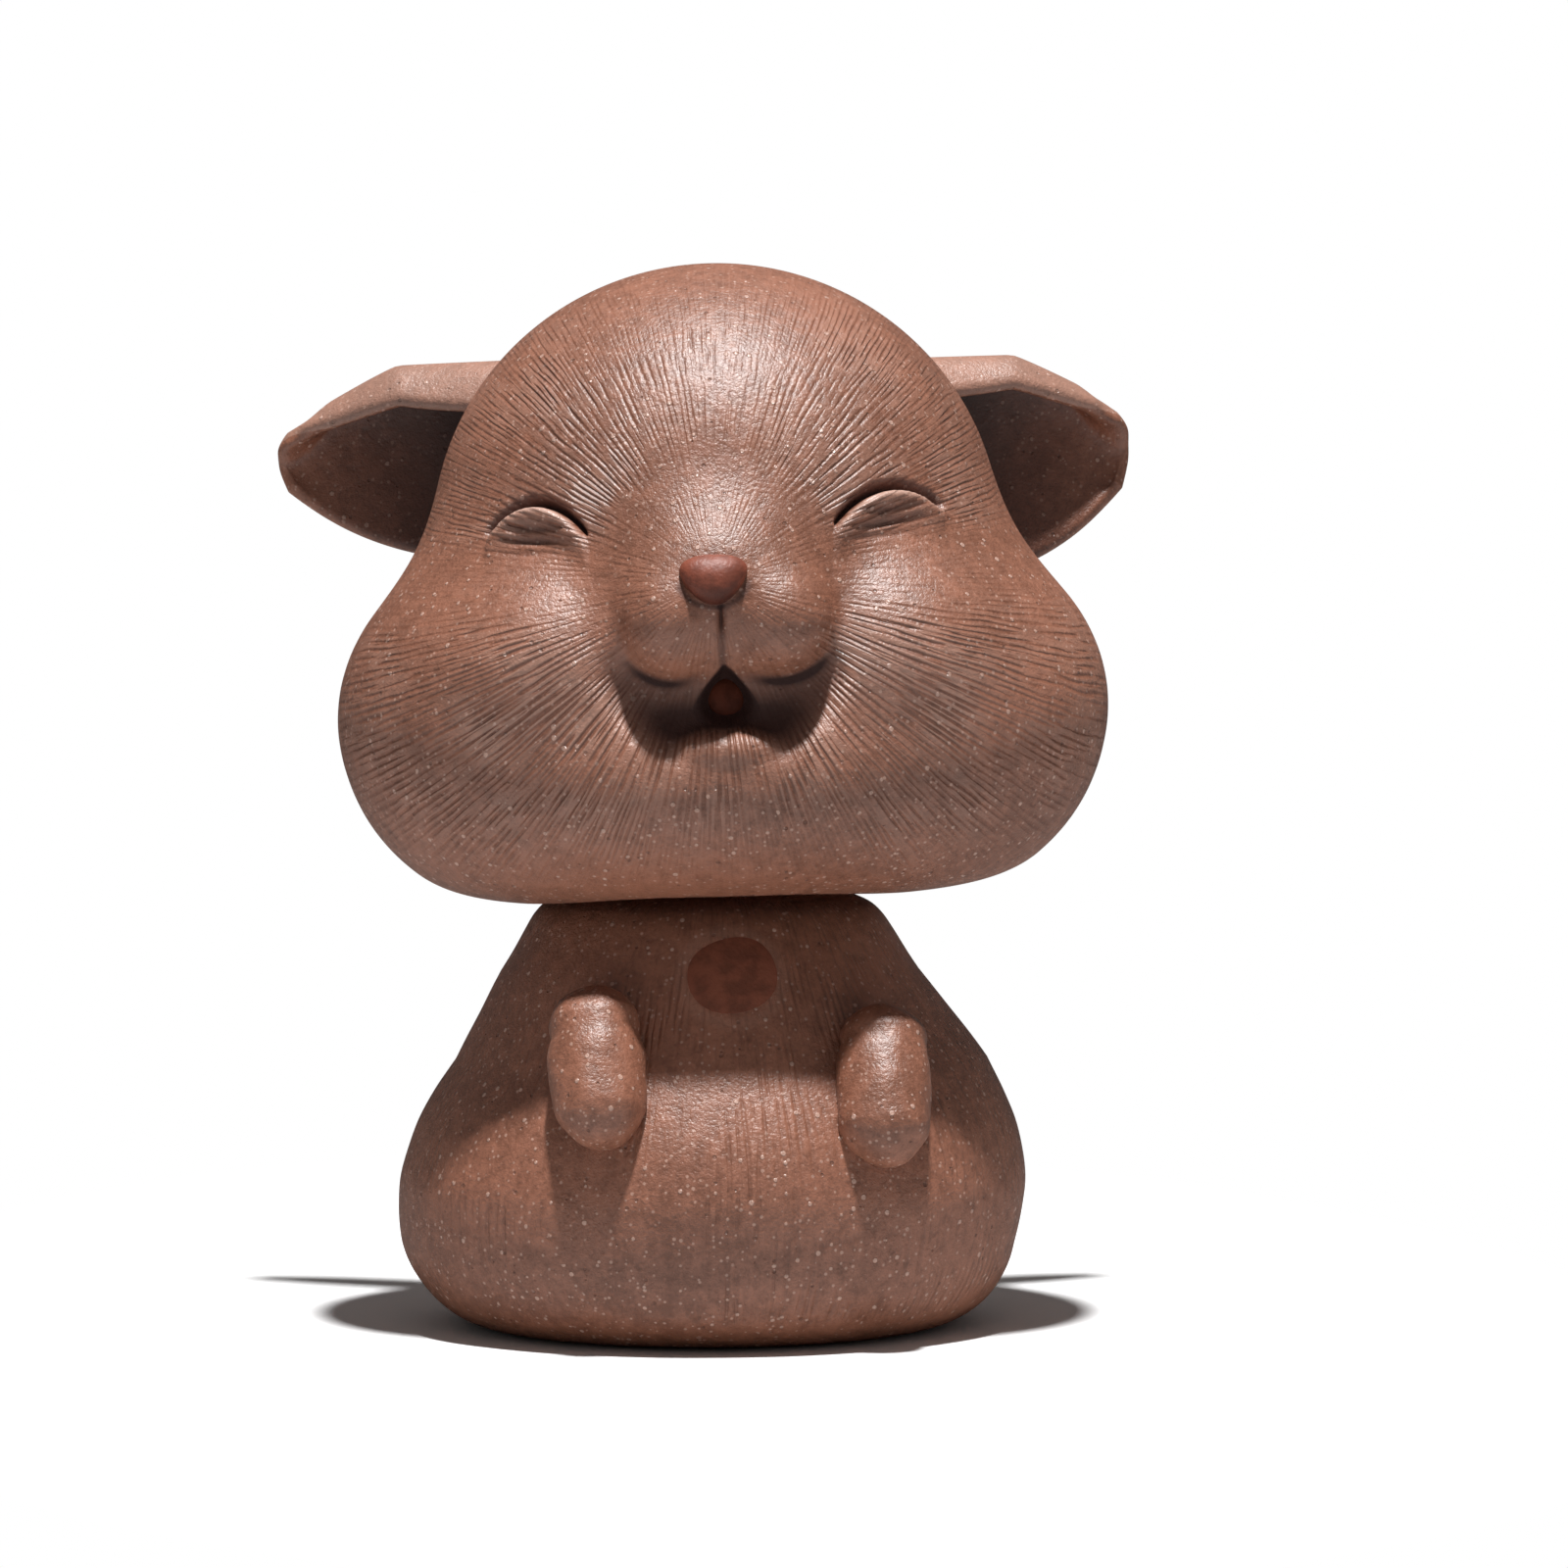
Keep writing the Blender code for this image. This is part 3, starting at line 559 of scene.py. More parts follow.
def hollow_shade(points):
    """Painted shade in the hollow, the mouth, the creases, the groove and under the nose's lower
    edge.
    """
    across, back, up = points.T
    sunk = -whole_form(points)
    painted_shading = -0.95 * held((sunk - 0.2) / 0.95)
    painted_shading -= 0.6 * held((0.35 - mouth_form(points)) / 0.3) * (back < -12.0)
    crease = soft_line(pads_form(points) - 0.45, 0.5) * held((59.0 - up) / 2.0)
    painted_shading -= 1.1 * crease * held((sunk - 0.1) / 0.5)
    span = held((61.8 - up) / 0.6) * held((up - 55.8) / 0.6)
    front = back < -18.0
    painted_shading -= 0.6 * soft_line(across - PHILTRUM, 0.32) * span * front
    from_nose = np.hypot((across - NOSE_PLACE[0]) / 2.75, (up - NOSE_PLACE[1]) / 2.15)
    under = held((NOSE_PLACE[1] + 0.2 - up) / 0.8)
    return painted_shading - 0.75 * soft_line(from_nose - 1.02, 0.13) * under * front


def head_matrix():
    """From an upright head in millimetres, about its middle plane, to the leaning one in metres."""
    pivot = Matrix.Translation((0.0, 0.0, PIVOT_HEIGHT * MM))
    turn = Euler((0.0, -HEAD_LEAN, HEAD_TURN)).to_matrix().to_4x4()
    shift = Matrix.Translation((HEAD_OFFSET * MM, 0.0, -PIVOT_HEIGHT * MM))
    return pivot @ turn @ shift @ Matrix.Scale(MM, 4)


def seat_on_head(obj):
    """Lean and turn a mesh with the head."""
    obj.data.transform(head_matrix())
    return obj


def add_object(name, bm):
    """A smooth-shaded object from a finished bmesh."""
    mesh = bpy.data.meshes.new(name)
    bm.to_mesh(mesh)
    bm.free()
    mesh.shade_smooth()
    obj = bpy.data.objects.new(name, mesh)
    bpy.context.scene.collection.objects.link(obj)
    return obj


def ball(columns, rings):
    """Unit sphere to be moved point by point."""
    bm = bmesh.new()
    bmesh.ops.create_uvsphere(bm, u_segments=columns, v_segments=rings, radius=1.0)
    return bm


def set_places(bm, places):
    """Move every vertex to its place."""
    for vert, place in zip(bm.verts, places):
        vert.co = place


def set_shade(bm, shades):
    """Store the painted shading at each point: painted shade below 0, painted light above 0."""
    layer = bm.verts.layers.float.new("painted_shading")
    for vert, painted_shading in zip(bm.verts, shades):
        vert[layer] = painted_shading


def get_places(bm):
    """Places of all vertices, a row each."""
    return np.array([vert.co[:] for vert in bm.verts])


def apply_modifiers(obj):
    """Swap the mesh for its finished form."""
    graph = bpy.context.evaluated_depsgraph_get()
    finished = bpy.data.meshes.new_from_object(obj.evaluated_get(graph))
    old = obj.data
    obj.modifiers.clear()
    obj.data = finished
    finished.name = obj.name
    bpy.data.meshes.remove(old)
    return obj


def cut(obj, cutters):
    """Cut the objects out of obj and remove them."""
    for cutter in cutters:
        modifier = obj.modifiers.new("Cut " + cutter.name, "BOOLEAN")
        modifier.operation = "DIFFERENCE"
        modifier.solver = "EXACT"
        modifier.object = cutter
    apply_modifiers(obj)
    for cutter in cutters:
        bpy.data.objects.remove(cutter, do_unlink=True)
    return obj


def finish_piece(obj, body, nodes, material):
    """Give a piece its material and body, and hide the CAD nodes it stands for."""
    obj.data.materials.clear()
    obj.data.materials.append(material)
    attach(obj, body)
    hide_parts(*nodes)
    return obj


def coarse_head(name, grow, columns, rings):
    """Plain head form, grown or shrunk, for cutting with."""
    bm = ball(columns, rings)
    directions = get_places(bm)
    radii = solve_radii(plain_form, directions, grow)
    set_places(bm, HEAD_CENTRE + directions * radii[:, None])
    return add_object(name, bm)


def opening_bar():
    """Upright oval bar that opens the underside of the head."""
    bm = bmesh.new()
    bmesh.ops.create_cone(
        bm, cap_ends=True, segments=96, radius1=0.5, radius2=0.5, depth=OPENING_DEPTH
    )
    bmesh.ops.scale(bm, vec=(HEAD_OPENING[0], HEAD_OPENING[1], 1.0), verts=bm.verts)
    bmesh.ops.translate(bm, vec=(-HEAD_OFFSET, 0.0, HEAD_BOTTOM), verts=bm.verts)
    return add_object("opening_bar", bm)


def carve_head(sizes):
    """Fine head: rings of points round the nose, solved onto the carved form, then hollowed."""
    bm = ball(HEAD_COLUMNS, HEAD_RINGS)
    unit = get_places(bm)
    polar = np.arccos(np.clip(unit[:, 2], -1.0, 1.0))
    around = np.arctan2(unit[:, 1], unit[:, 0])
    share = polar / math.pi
    polar = FACE_SPREAD * share + (math.pi - FACE_SPREAD) * share**5
    flat = np.sin(polar)
    unit = np.stack((flat * np.cos(around), flat * np.sin(around), np.cos(polar)), axis=1)
    turn = np.array(FACE_DIRECTION.to_track_quat("Z", "Y").to_matrix())
    directions = unit @ turn.T
    surface = HEAD_CENTRE + directions * solve_radii(carved_form, directions)[:, None]
    depth = sizes.eye_depth / MM
    left, left_shade = eye_relief(surface, depth, **EYES["left"])
    right, right_shade = eye_relief(surface, depth, **EYES["right"])
    set_places(bm, surface + directions * (left + right)[:, None])
    # Painted light and shade of the eyes and painted shade of the face's hollows, kept on the mesh.
    set_shade(bm, left_shade + right_shade + hollow_shade(surface))
    head = add_object("head_carved", bm)
    return cut(head, [coarse_head("head_hollow", -HEAD_WALL, 40, 26), opening_bar()])


def front_of(form, across, height):
    """How far forward the form reaches at a place on the face."""
    near, far = 0.0, HEAD_REACH
    for _ in range(SOLVE_STEPS):
        middle = (near + far) / 2
        if form(np.array([[across, -middle, height]]))[0] < 0.0:
            near = middle
        else:
            far = middle
    return near


def nose_centre():
    """Middle of the nose, just inside the face."""
    across, height = NOSE_PLACE
    return np.array((across, -front_of(whole_form, across, height) + 0.2, height))


def swell(value, power):
    """Signed power; one below 1 squares a round outline."""
    return np.sign(value) * np.abs(value) ** power


def model_nose():
    """Upside-down rounded trapezium, fullest in front a little below its middle."""
    bm = ball(72, 44)
    unit = get_places(bm)
    up = unit[:, 2]
    x = swell(unit[:, 0], 0.82) * 2.55 * (1.0 + 0.4 * up)
    y = unit[:, 1] * (1.8 - 0.35 * up)
    z = swell(up, 0.88) * 2.05 - 0.25 * unit[:, 0] ** 2 * held(up)
    set_places(bm, np.stack((x, y, z), axis=1) + nose_centre())
    # Painted shade on the lower half of the nose, which faces down.
    set_shade(bm, -0.7 * held(-up * 1.6 - 0.1))
    return seat_on_head(add_object("nose_button", bm))


def model_tongue():
    """Red lining low in the mouth."""
    bm = ball(40, 28)
    unit = get_places(bm)
    across, height = MOUTH_PLACE
    centre = np.array((across, -19.5, height - 0.4))
    set_places(bm, unit * np.array((1.7, 0.9, 1.9)) + centre)
    return seat_on_head(add_object("tongue_lining", bm))


def ear_surface(ear, share, around):
    """Middle surface of an ear; share runs from root to tip, around from lip to low edge."""
    share = share * (1.0 - 0.05 * (2.0 * around - 1.0) ** 4 * share**8)
    drop = held((share - 0.5) / 0.5) ** 1.1
    ridge = ear["ridge"] - (ear["ridge"] - ear["tip"]) * drop
    lip = ridge - ear["fold"] * (1.0 - share**2)
    tip_low = ear["tip"] - ear["blunt"]
    low = tip_low - (tip_low - ear["low"]) * held(1.0 - share**2.6) ** 0.75
    taper = np.sqrt(held(1.0 - share**2))
    flat = held((share - 0.74) / 0.3)
    flat = flat * flat * (3.0 - 2.0 * flat)
    heights = [lip, ridge + 1.1 * (ridge - lip), ridge, low]
    heights = [
        bent + (ridge + (low - ridge) * third / 3 - bent) * flat
        for third, bent in enumerate(heights)
    ]
    depths = [depth * taper for depth in EAR_DEPTHS]
    left = 1 - around
    weights = (left**3, 3 * around * left**2, 3 * around**2 * left, around**3)
    height = sum(weight * value for weight, value in zip(weights, heights))
    depth = sum(weight * value for weight, value in zip(weights, depths))
    across = EAR_ROOT + (ear["reach"] - EAR_ROOT) * share
    waves = np.sin(0.55 * across + 3.0 * around + ear["sway"])
    uneven = 0.16 * waves * np.sin(0.4 * height + ear["sway"])
    back = EAR_ROOT_BACK + EAR_SWEEP * share + depth + uneven
    return np.stack((ear["side"] * across, back, height), axis=-1)


def model_ear(name, ear, thickness):
    """Folded leaf with two skins that meet in a rounded rim, let into the head."""
    bm = bmesh.new()
    for _ in range(2):
        bmesh.ops.create_grid(bm, x_segments=72, y_segments=64, size=1.0)
    grid = get_places(bm)
    inner = np.arange(len(grid)) >= len(grid) // 2
    share = EAR_END * np.sin(math.pi / 4 * (grid[:, 0] + 1.0))
    around = (1.0 - np.cos(math.pi / 2 * (grid[:, 1] + 1.0))) / 2
    middle = ear_surface(ear, share, around)
    rims = [ear_surface(ear, share, 0.0 * around), ear_surface(ear, share, 0.0 * around + 1.0)]
    rims += [ear_surface(ear, 0.0 * share, around), ear_surface(ear, 0.0 * share + EAR_END, around)]
    from_rim = np.min([np.linalg.norm(middle - rim, axis=1) for rim in rims], axis=0)
    half = thickness / MM / 2
    rise = half * np.sqrt(1.0 - (1.0 - held(from_rim / (1.3 * half))) ** 2)
    nudge = 1e-3
    further, nearer = np.minimum(share + nudge, 1.0), np.maximum(share - nudge, 0.0)
    later, earlier = np.minimum(around + nudge, 1.0), np.maximum(around - nudge, 0.0)
    along = ear_surface(ear, further, around) - ear_surface(ear, nearer, around)
    over = ear_surface(ear, share, later) - ear_surface(ear, share, earlier)
    normal = np.cross(along, over) * ear["side"]
    normal /= np.linalg.norm(normal, axis=1)[:, None] + 1e-12
    facing = np.where(inner, -1.0, 1.0)
    set_places(bm, middle + normal * (rise * facing)[:, None])
    # Painted shade in the ear cups, darkest at the root, and painted light on the roof tops.
    dark = -np.clip(1.25 - 1.25 * share, 0.1, 0.9)
    pale = 0.3 * held((0.6 - around) / 0.2)
    set_shade(bm, np.where(inner, dark * held(from_rim / 0.5), pale))
    bmesh.ops.remove_doubles(bm, verts=bm.verts, dist=1e-4)
    bmesh.ops.recalc_face_normals(bm, faces=bm.faces)
    leaf = add_object(name, bm)
    return seat_on_head(cut(leaf, [coarse_head(name + "_root", -1.2, 64, 40)]))


def wander(height):
    """Sideways drift of the body's middle at a height."""
    heights = [item[0] for item in BODY_WANDER]
    return np.interp(height, heights, [item[1] for item in BODY_WANDER])


def body_half_width(height):
    """Half width of the body at a height."""
    return np.interp(height, [item[1] for item in BODY_PROFILE], [item[0] for item in BODY_PROFILE])


def fine_outline():
    """The body's outline as a Catmull-Rom curve through its sizes."""
    knots = [Vector((radius, height)) for radius, height in BODY_PROFILE]
    points = []
    for index in range(len(knots) - 1):
        before = knots[max(index - 1, 0)]
        after = knots[min(index + 2, len(knots) - 1)]
        start, end = knots[index], knots[index + 1]
        for step in range(4):
            t = step / 4
            a = start * 2.0
            b = (end - before) * t
            c = (before * 2.0 - start * 5.0 + end * 4.0 - after) * t * t
            d = (start * 3.0 - before - end * 3.0 + after) * t**3
            points.append((a + b + c + d) * 0.5)
    return points + [knots[-1]]


def model_body():
    """Turned gourd with a blind bore in its neck, pressed front to back and a little uneven."""
    outline = [(0.0, 0.0)] + [(point.x, point.y) for point in fine_outline()]
    outline += [(NECK_BORE + NECK_CHAMFER, NECK_TOP), (NECK_BORE, NECK_TOP - NECK_CHAMFER)]
    outline += [(NECK_BORE, NECK_BORE_FLOOR), (0.0, NECK_BORE_FLOOR)]
    bm = bmesh.new()
    verts = [bm.verts.new((radius, 0.0, height)) for radius, height in outline]
    edges = [bm.edges.new(ends) for ends in zip(verts, verts[1:])]
    bmesh.ops.spin(
        bm,
        geom=verts + edges,
        cent=(0, 0, 0),
        axis=(0, 0, 1),
        angle=2.0 * math.pi,
        steps=192,
        use_merge=True,
        use_duplicate=False,
    )
    bmesh.ops.remove_doubles(bm, verts=bm.verts, dist=1e-4)
    for vert in bm.verts:
        radius = math.hypot(vert.co.x, vert.co.y)
        if radius > NECK_BORE + NECK_CHAMFER + 0.01:
            vert.co.y *= BODY_DEPTH_RATIO
            vert.co.x += wander(vert.co.z)
            out = Vector((vert.co.x, vert.co.y, 0.0)).normalized()
            fade = min(vert.co.z / 3.0, 1.0) * min(max(38.0 - vert.co.z, 0.0) / 6.0, 1.0)
            vert.co += out * noise.noise(vert.co * 0.11) * 0.3 * fade
    bmesh.ops.recalc_face_normals(bm, faces=bm.faces)
    body = add_object("body_gourd", bm)
    body.data.transform(Matrix.Scale(MM, 4))
    return body


def front_of_body(height):
    """Where the middle of the belly lies at a height."""
    return -body_half_width(height) * BODY_DEPTH_RATIO


def chest_frame():
    """Middle of the chest disc and the outward direction there."""
    run = front_of_body(DISC_HEIGHT + 1.0) - front_of_body(DISC_HEIGHT - 1.0)
    normal = Vector((0.0, -2.0, run)).normalized()
    return Vector((0.0, front_of_body(DISC_HEIGHT), DISC_HEIGHT)), normal


def model_disc(radius):
    """Low domed disc pressed into the chest, a little taller than wide."""
    bm = ball(64, 24)
    point, normal = chest_frame()
    turn = normal.to_track_quat("Z", "Y").to_matrix().to_4x4()
    size = Matrix.Diagonal((radius / MM, DISC_STRETCH * radius / MM, DISC_DOME, 1.0))
    place = Matrix.Translation(point - normal * DISC_SINK) @ turn @ size
    bmesh.ops.transform(bm, matrix=Matrix.Scale(MM, 4) @ place, verts=bm.verts)
    return add_object("chest_roundel", bm)


def model_arm(name, arm, width, length):
    """Lobe with a paw at its top and a shallow crease under it, leaning back on the belly."""
    bm = ball(72, 56)
    unit = get_places(bm)
    half = width / MM / 2
    straight = (length - width) / MM / 2
    lift = straight * np.clip(unit[:, 2] * 4.0, -1.0, 1.0)
    places = unit * half
    places[:, 2] += lift
    along = places[:, 2]
    crease = ARM_CREASE_DEPTH * soft_line(along - arm["crease"], ARM_CREASE_WIDTH)
    slim = 1.0 - 0.05 * held(-along / 6.0) - crease / half
    places[:, 0] *= slim
    places[:, 1] *= slim
    set_places(bm, places)
    apart = Vector((arm["across"], 0.0, 0.0))
    for vert in bm.verts:
        spot = vert.co * 0.35 + apart
        vert.co += Vector([noise.noise(spot + shift) for shift in WOBBLE_SHIFTS]) * ARM_WOBBLE
    place = Matrix.Translation((arm["across"], -ARM_REACH, arm["height"]))
    place = place @ Matrix.Rotation(-ARM_TILT, 4, "X")
    place = place @ Matrix.Rotation(math.radians(arm["turn"]), 4, "Y")
    bmesh.ops.transform(bm, matrix=Matrix.Scale(MM, 4) @ place, verts=bm.verts)
    return add_object(name, bm)


def sand(finish, place, cell, share, low, high):
    """Mask of round grains with radii from low to high, in a share of the cells of a size."""
    values = {"Vector": place, "Scale": 1.0 / cell}
    grid = finish.node("ShaderNodeTexVoronoi", {"feature": "F1"}, values)
    distance = Tone(finish, grid.socket.node.outputs["Distance"]) * cell
    pick = finish.parts(Tone(finish, grid.socket.node.outputs["Color"]))
    size = low + (high - low) * pick[1]
    dot = finish.step(distance - size, 0.05, -0.04)
    return dot * finish.step(pick[0], 1.0 - share, 1.0 - share + 0.02)


def clay_base(finish, colours, place):
    """Brown clay with slow changes of tone, sand and a dry grainy surface."""
    slow = finish.noise(place, 0.07, 2.0)
    mottle = finish.noise(place, 0.8, 3.0, 0.65)
    fine = finish.noise(place, 3.0, 2.0, 0.7)
    pale = sand(finish, place, cell=0.95, share=0.3, low=0.12, high=0.22)
    moved = finish.vector("ADD", place, (7.0, 3.0, 5.0))
    specks = sand(finish, moved, cell=0.55, share=0.5, low=0.08, high=0.15)
    moved = finish.vector("ADD", place, (2.0, 11.0, 4.0))
    pits = sand(finish, moved, cell=0.8, share=0.14, low=0.08, high=0.17)
    light = [value * 1.24 + 0.014 for value in colours.brown]
    deep = [value * 0.72 for value in colours.brown]
    dark = [value * 0.4 for value in colours.brown]
    tone = finish.step(slow * 0.35 + mottle * 0.4 + fine * 0.25, 0.36, 0.64)
    base = finish.blend(tone, deep, light)
    base = finish.blend(pale * 0.7, base, colours.sand)
    base = finish.blend(specks * 0.5, base, colours.sand)
    base = finish.blend(pits * 0.5, base, dark)
    height = fine * 0.09 + mottle * 0.08 + pale * 0.05 - pits * 0.07
    rough = 0.46 - pale * 0.1 + (fine - 0.5) * 0.2
    return base, rough, height


def shaded(finish, colours, base):
    """Paint shade where the piece's painted shading is below 0, and paint light in the sand colour
    where it is above.
    """
    painted_shading = finish.node("ShaderNodeAttribute", {"attribute_name": "painted_shading"}, output="Fac")
    base = finish.blend(0.0 - painted_shading, base, colours.painted_shade)
    return finish.blend(painted_shading, base, colours.sand), painted_shading


def combed_lines(finish, angle, turn, along, drift, strokes):
    """Grooves that fan out, wavering and broken into strokes; 1 in a groove.

    turn is the point on a unit circle at the angle, so that the noise has no seam.
    """
    count, dash = strokes
    wide = finish.vector("MULTIPLY", turn, (count / 20.0, count / 20.0, 0.0))
    bend = finish.noise(finish.vector("ADD", wide, finish.combine(0.0, 0.0, along / 8.0)), 1.0, 1.0)
    wave = finish.math("SINE", angle * count + bend * 6.0 + drift * 5.0)
    groove = (wave * 0.5 + 0.5) ** 1.3
    narrow = finish.vector("MULTIPLY", turn, (count / 5.0, count / 5.0, 0.0))
    ends = finish.vector("ADD", narrow, finish.combine(0.0, 0.0, along / dash))
    stroke = finish.noise(ends, 1.0, 1.0)
    return groove * (0.1 + 0.9 * finish.step(stroke, 0.38, 0.58))


def hair_strokes(finish, place):
    """Strokes that fan out from the nose, with more of them further out, and how deep they go."""
    across, back, up = finish.parts(place)
    out = finish.math("SQRT", across * across + up * up)
    angle = finish.math("ARCTAN2", across, up)
    along = out + back
    turn = finish.combine(across / out, up / out, 0.0)
    drift = finish.noise(place, 0.11, 1.0)
    near = combed_lines(finish, angle, turn, along, drift, NEAR_STROKES)
    middle = combed_lines(finish, angle, turn, along, drift, MIDDLE_STROKES)
    far = combed_lines(finish, angle, turn, along, drift, FAR_STROKES)
    outer = finish.step(out, 17.0, 22.0)
    inner = finish.step(out, 9.0, 12.0)
    lines = near * (1.0 - inner) + inner * (middle * (1.0 - outer) + far * outer)
    side = finish.math("ABSOLUTE", across)
    crown = finish.step(up, 4.0, 12.0) * finish.step(side, 14.0, 7.0)
    cheek_top = finish.step(side, 7.0, 10.0) * finish.step(up, -5.5, -1.5)
    cheek_top = cheek_top * finish.step(up, 5.0, 2.0)
    brow = finish.step(side, 3.5, 7.0) * finish.step(side, 15.0, 11.0) * finish.step(up, 1.5, 4.5)
    brow = brow * finish.step(up, 18.0, 13.0)
    cheek = finish.step(side, 7.0, 10.0) * finish.step(up, -4.0, -6.5)
    cheek = cheek * finish.step(up, -17.0, -12.0) * finish.step(side, 24.0, 19.0)
    patches = 0.45 + 0.55 * finish.step(finish.noise(place, 0.16, 1.0), 0.4, 0.6)
    strength = patches * (1.0 - 0.6 * crown) * (1.0 - 0.8 * cheek_top)
    strength = strength * (1.0 + 0.5 * brow + 0.35 * cheek)
    strength = strength * finish.step(up, -27.0, -15.0) * (0.2 + 0.8 * finish.step(out, 8.5, 11.5))
    strength = strength * finish.step(out, 3.2, 5.0) * (0.3 + 0.7 * finish.step(back, 23.0, 10.0))
    strength = strength * (1.0 - 0.3 * finish.step(side, 19.0, 25.0))
    return lines, strength


def head_clay(colours, sizes):
    """Clay scored round the nose, with painted shade in the hollows and painted light on the
    eyelids.
    """
    finish = Finish("carved_head_clay")
    nose = head_matrix() @ Vector(nose_centre())
    place = finish.place([value / MM for value in nose], (0.0, -HEAD_LEAN, HEAD_TURN))
    base, rough, relief = clay_base(finish, colours, place)
    lines, strength = hair_strokes(finish, place)
    # Darker grooves: partly dirt, partly painted shade of the strokes.
    base = finish.blend(lines * strength * 0.24, base, colours.groove)
    # Painted highlight: the ridges between the strokes are blended paler.
    painted_ridge_light = finish.step(lines, 0.3, 0.0) * strength
    base = finish.blend(painted_ridge_light * 0.26, base, colours.sand)
    base, painted_shading = shaded(finish, colours, base)
    # Where painted shade lies, the strokes are shallower and the clay rougher.
    painted_shade = finish.step(painted_shading, -0.2, -0.7)
    relief = relief - lines * strength * (1.0 - 0.85 * painted_shade) * (sizes.stroke_depth / MM)
    return finish.surface(base, rough + 0.3 * painted_shade, relief)


def body_clay(colours):
    """Clay scored with short upright strokes, left plain round the chest disc."""
    finish = Finish("scored_body_clay")
    place = finish.place()
    base, rough, relief = clay_base(finish, colours, place)
    across, back, up = finish.parts(place)
    angle = finish.math("ARCTAN2", across, back)
    width = finish.math("SQRT", across * across + back * back)
    turn = finish.combine(across / width, back / width, 0.0)
    drift = finish.noise(place, 0.11, 1.0)
    lines = combed_lines(finish, angle, turn, up, drift, BODY_STROKES)
    patches = 0.15 + 0.85 * finish.step(finish.noise(place, 0.14, 1.0), 0.4, 0.62)
    strength = patches * finish.step(up, 1.5, 4.0)
    # Darker grooves: partly dirt, partly painted shade of the strokes.
    base = finish.blend(lines * strength * 0.13, base, colours.groove)
    relief = relief - lines * strength * BODY_STROKE_DEPTH
    point, _ = chest_frame()
    ends = {0: place, 1: tuple(point)}
    away = finish.node("ShaderNodeVectorMath", {"operation": "DISTANCE"}, ends, output="Value")
    rim = finish.step(away, 3.4, 4.0) * finish.step(away, 5.2, 4.3)
    base = finish.blend(rim * 0.08, base, colours.sand)
    return finish.surface(base, rough, relief)


def smooth_clay(name, colours, with_painted_shading=False):
    """The same clay left unscored."""
    finish = Finish(name)
    base, rough, relief = clay_base(finish, colours, finish.place())
    if with_painted_shading:
        base, _ = shaded(finish, colours, base)
    return finish.surface(base, rough, relief)


def red_clay(name, colours, strength=1.0, dull=0.0, specular=0.5):
    """Red clay, dulled by a share of the brown one."""
    finish = Finish(name, specular=specular)
    place = finish.place()
    mottle = finish.noise(place, 0.7, 3.0, 0.6)
    fine = finish.noise(place, 3.2, 2.0)
    pairs = zip(colours.red, colours.brown)
    mixed = [strength * (red + (brown - red) * dull) for red, brown in pairs]
    deep, light = ([value * share for value in mixed] for share in (0.8, 1.2))
    base = finish.blend(finish.step(mottle, 0.35, 0.65), deep, light)
    base, _ = shaded(finish, colours, base)
    return finish.surface(base, 0.46 + fine * 0.12, fine * 0.05 + mottle * 0.05)


def spring_steel():
    """Bright drawn wire."""
    finish = Finish("drawn_spring_steel", roughness=0.3, specular=0.5)
    finish.shader.inputs["Metallic"].default_value = 1.0
    streak = finish.noise(finish.vector("MULTIPLY", finish.place(), (2.0, 2.0, 9.0)), 1.0, 2.0)
    base = finish.blend(streak, (0.36, 0.36, 0.37), (0.56, 0.56, 0.57))
    return finish.surface(base, 0.24 + streak * 0.16)


class TEAPET_OT_head(Operator):
    """Carve the hollow head with its muzzle, mouth and closed eyes"""

    bl_idname = "teapet.head"
    bl_label = "Head"

    def execute(self, context):
        sizes = context.scene.teapet_head
        head = carve_head(sizes)
        material = head_clay(context.scene.teapet_clay, sizes)
        finish_piece(seat_on_head(head), "head", ["head_shell"], material)
        return {"FINISHED"}


class TEAPET_OT_face(Operator):
    """Set the red nose and the tongue"""

    bl_idname = "teapet.face"
    bl_label = "Nose and Tongue"

    def execute(self, context):
        colours = context.scene.teapet_clay
        nose_clay = red_clay("nose_red_clay", colours, 0.9)
        finish_piece(model_nose(), "head", ["nose"], nose_clay)
        # The tongue's red at 0.4 strength: partly the clay's own dark red, partly painted shade of
        # the mouth.
        tongue_clay = red_clay("tongue_red_clay", colours, 0.4, specular=0.1)
        finish_piece(model_tongue(), "head", ["tongue"], tongue_clay)
        return {"FINISHED"}


class TEAPET_OT_ears(Operator):
    """Fold the two ears and lute them to the head"""

    bl_idname = "teapet.ears"
    bl_label = "Ears"

    def execute(self, context):
        thickness = context.scene.teapet_head.ear_thickness
        material = smooth_clay("ear_clay", context.scene.teapet_clay, with_painted_shading=True)
        for side, ear in EARS.items():
            leaf = model_ear("ear_leaf_" + side, ear, thickness)
            finish_piece(leaf, "head", ["ear_" + side], material)
        return {"FINISHED"}


class TEAPET_OT_body(Operator):
    """Turn the gourd-shaped body and set the disc in its chest"""

    bl_idname = "teapet.body"
    bl_label = "Body"

    def execute(self, context):
        colours = context.scene.teapet_clay
        finish_piece(model_body(), "base", ["body_shell"], body_clay(colours))
        disc = model_disc(context.scene.teapet_body.disc_radius)
        disc_clay = red_clay("chest_red_clay", colours, 0.9, dull=0.4)
        finish_piece(disc, "base", ["chest_disc"], disc_clay)
        return {"FINISHED"}


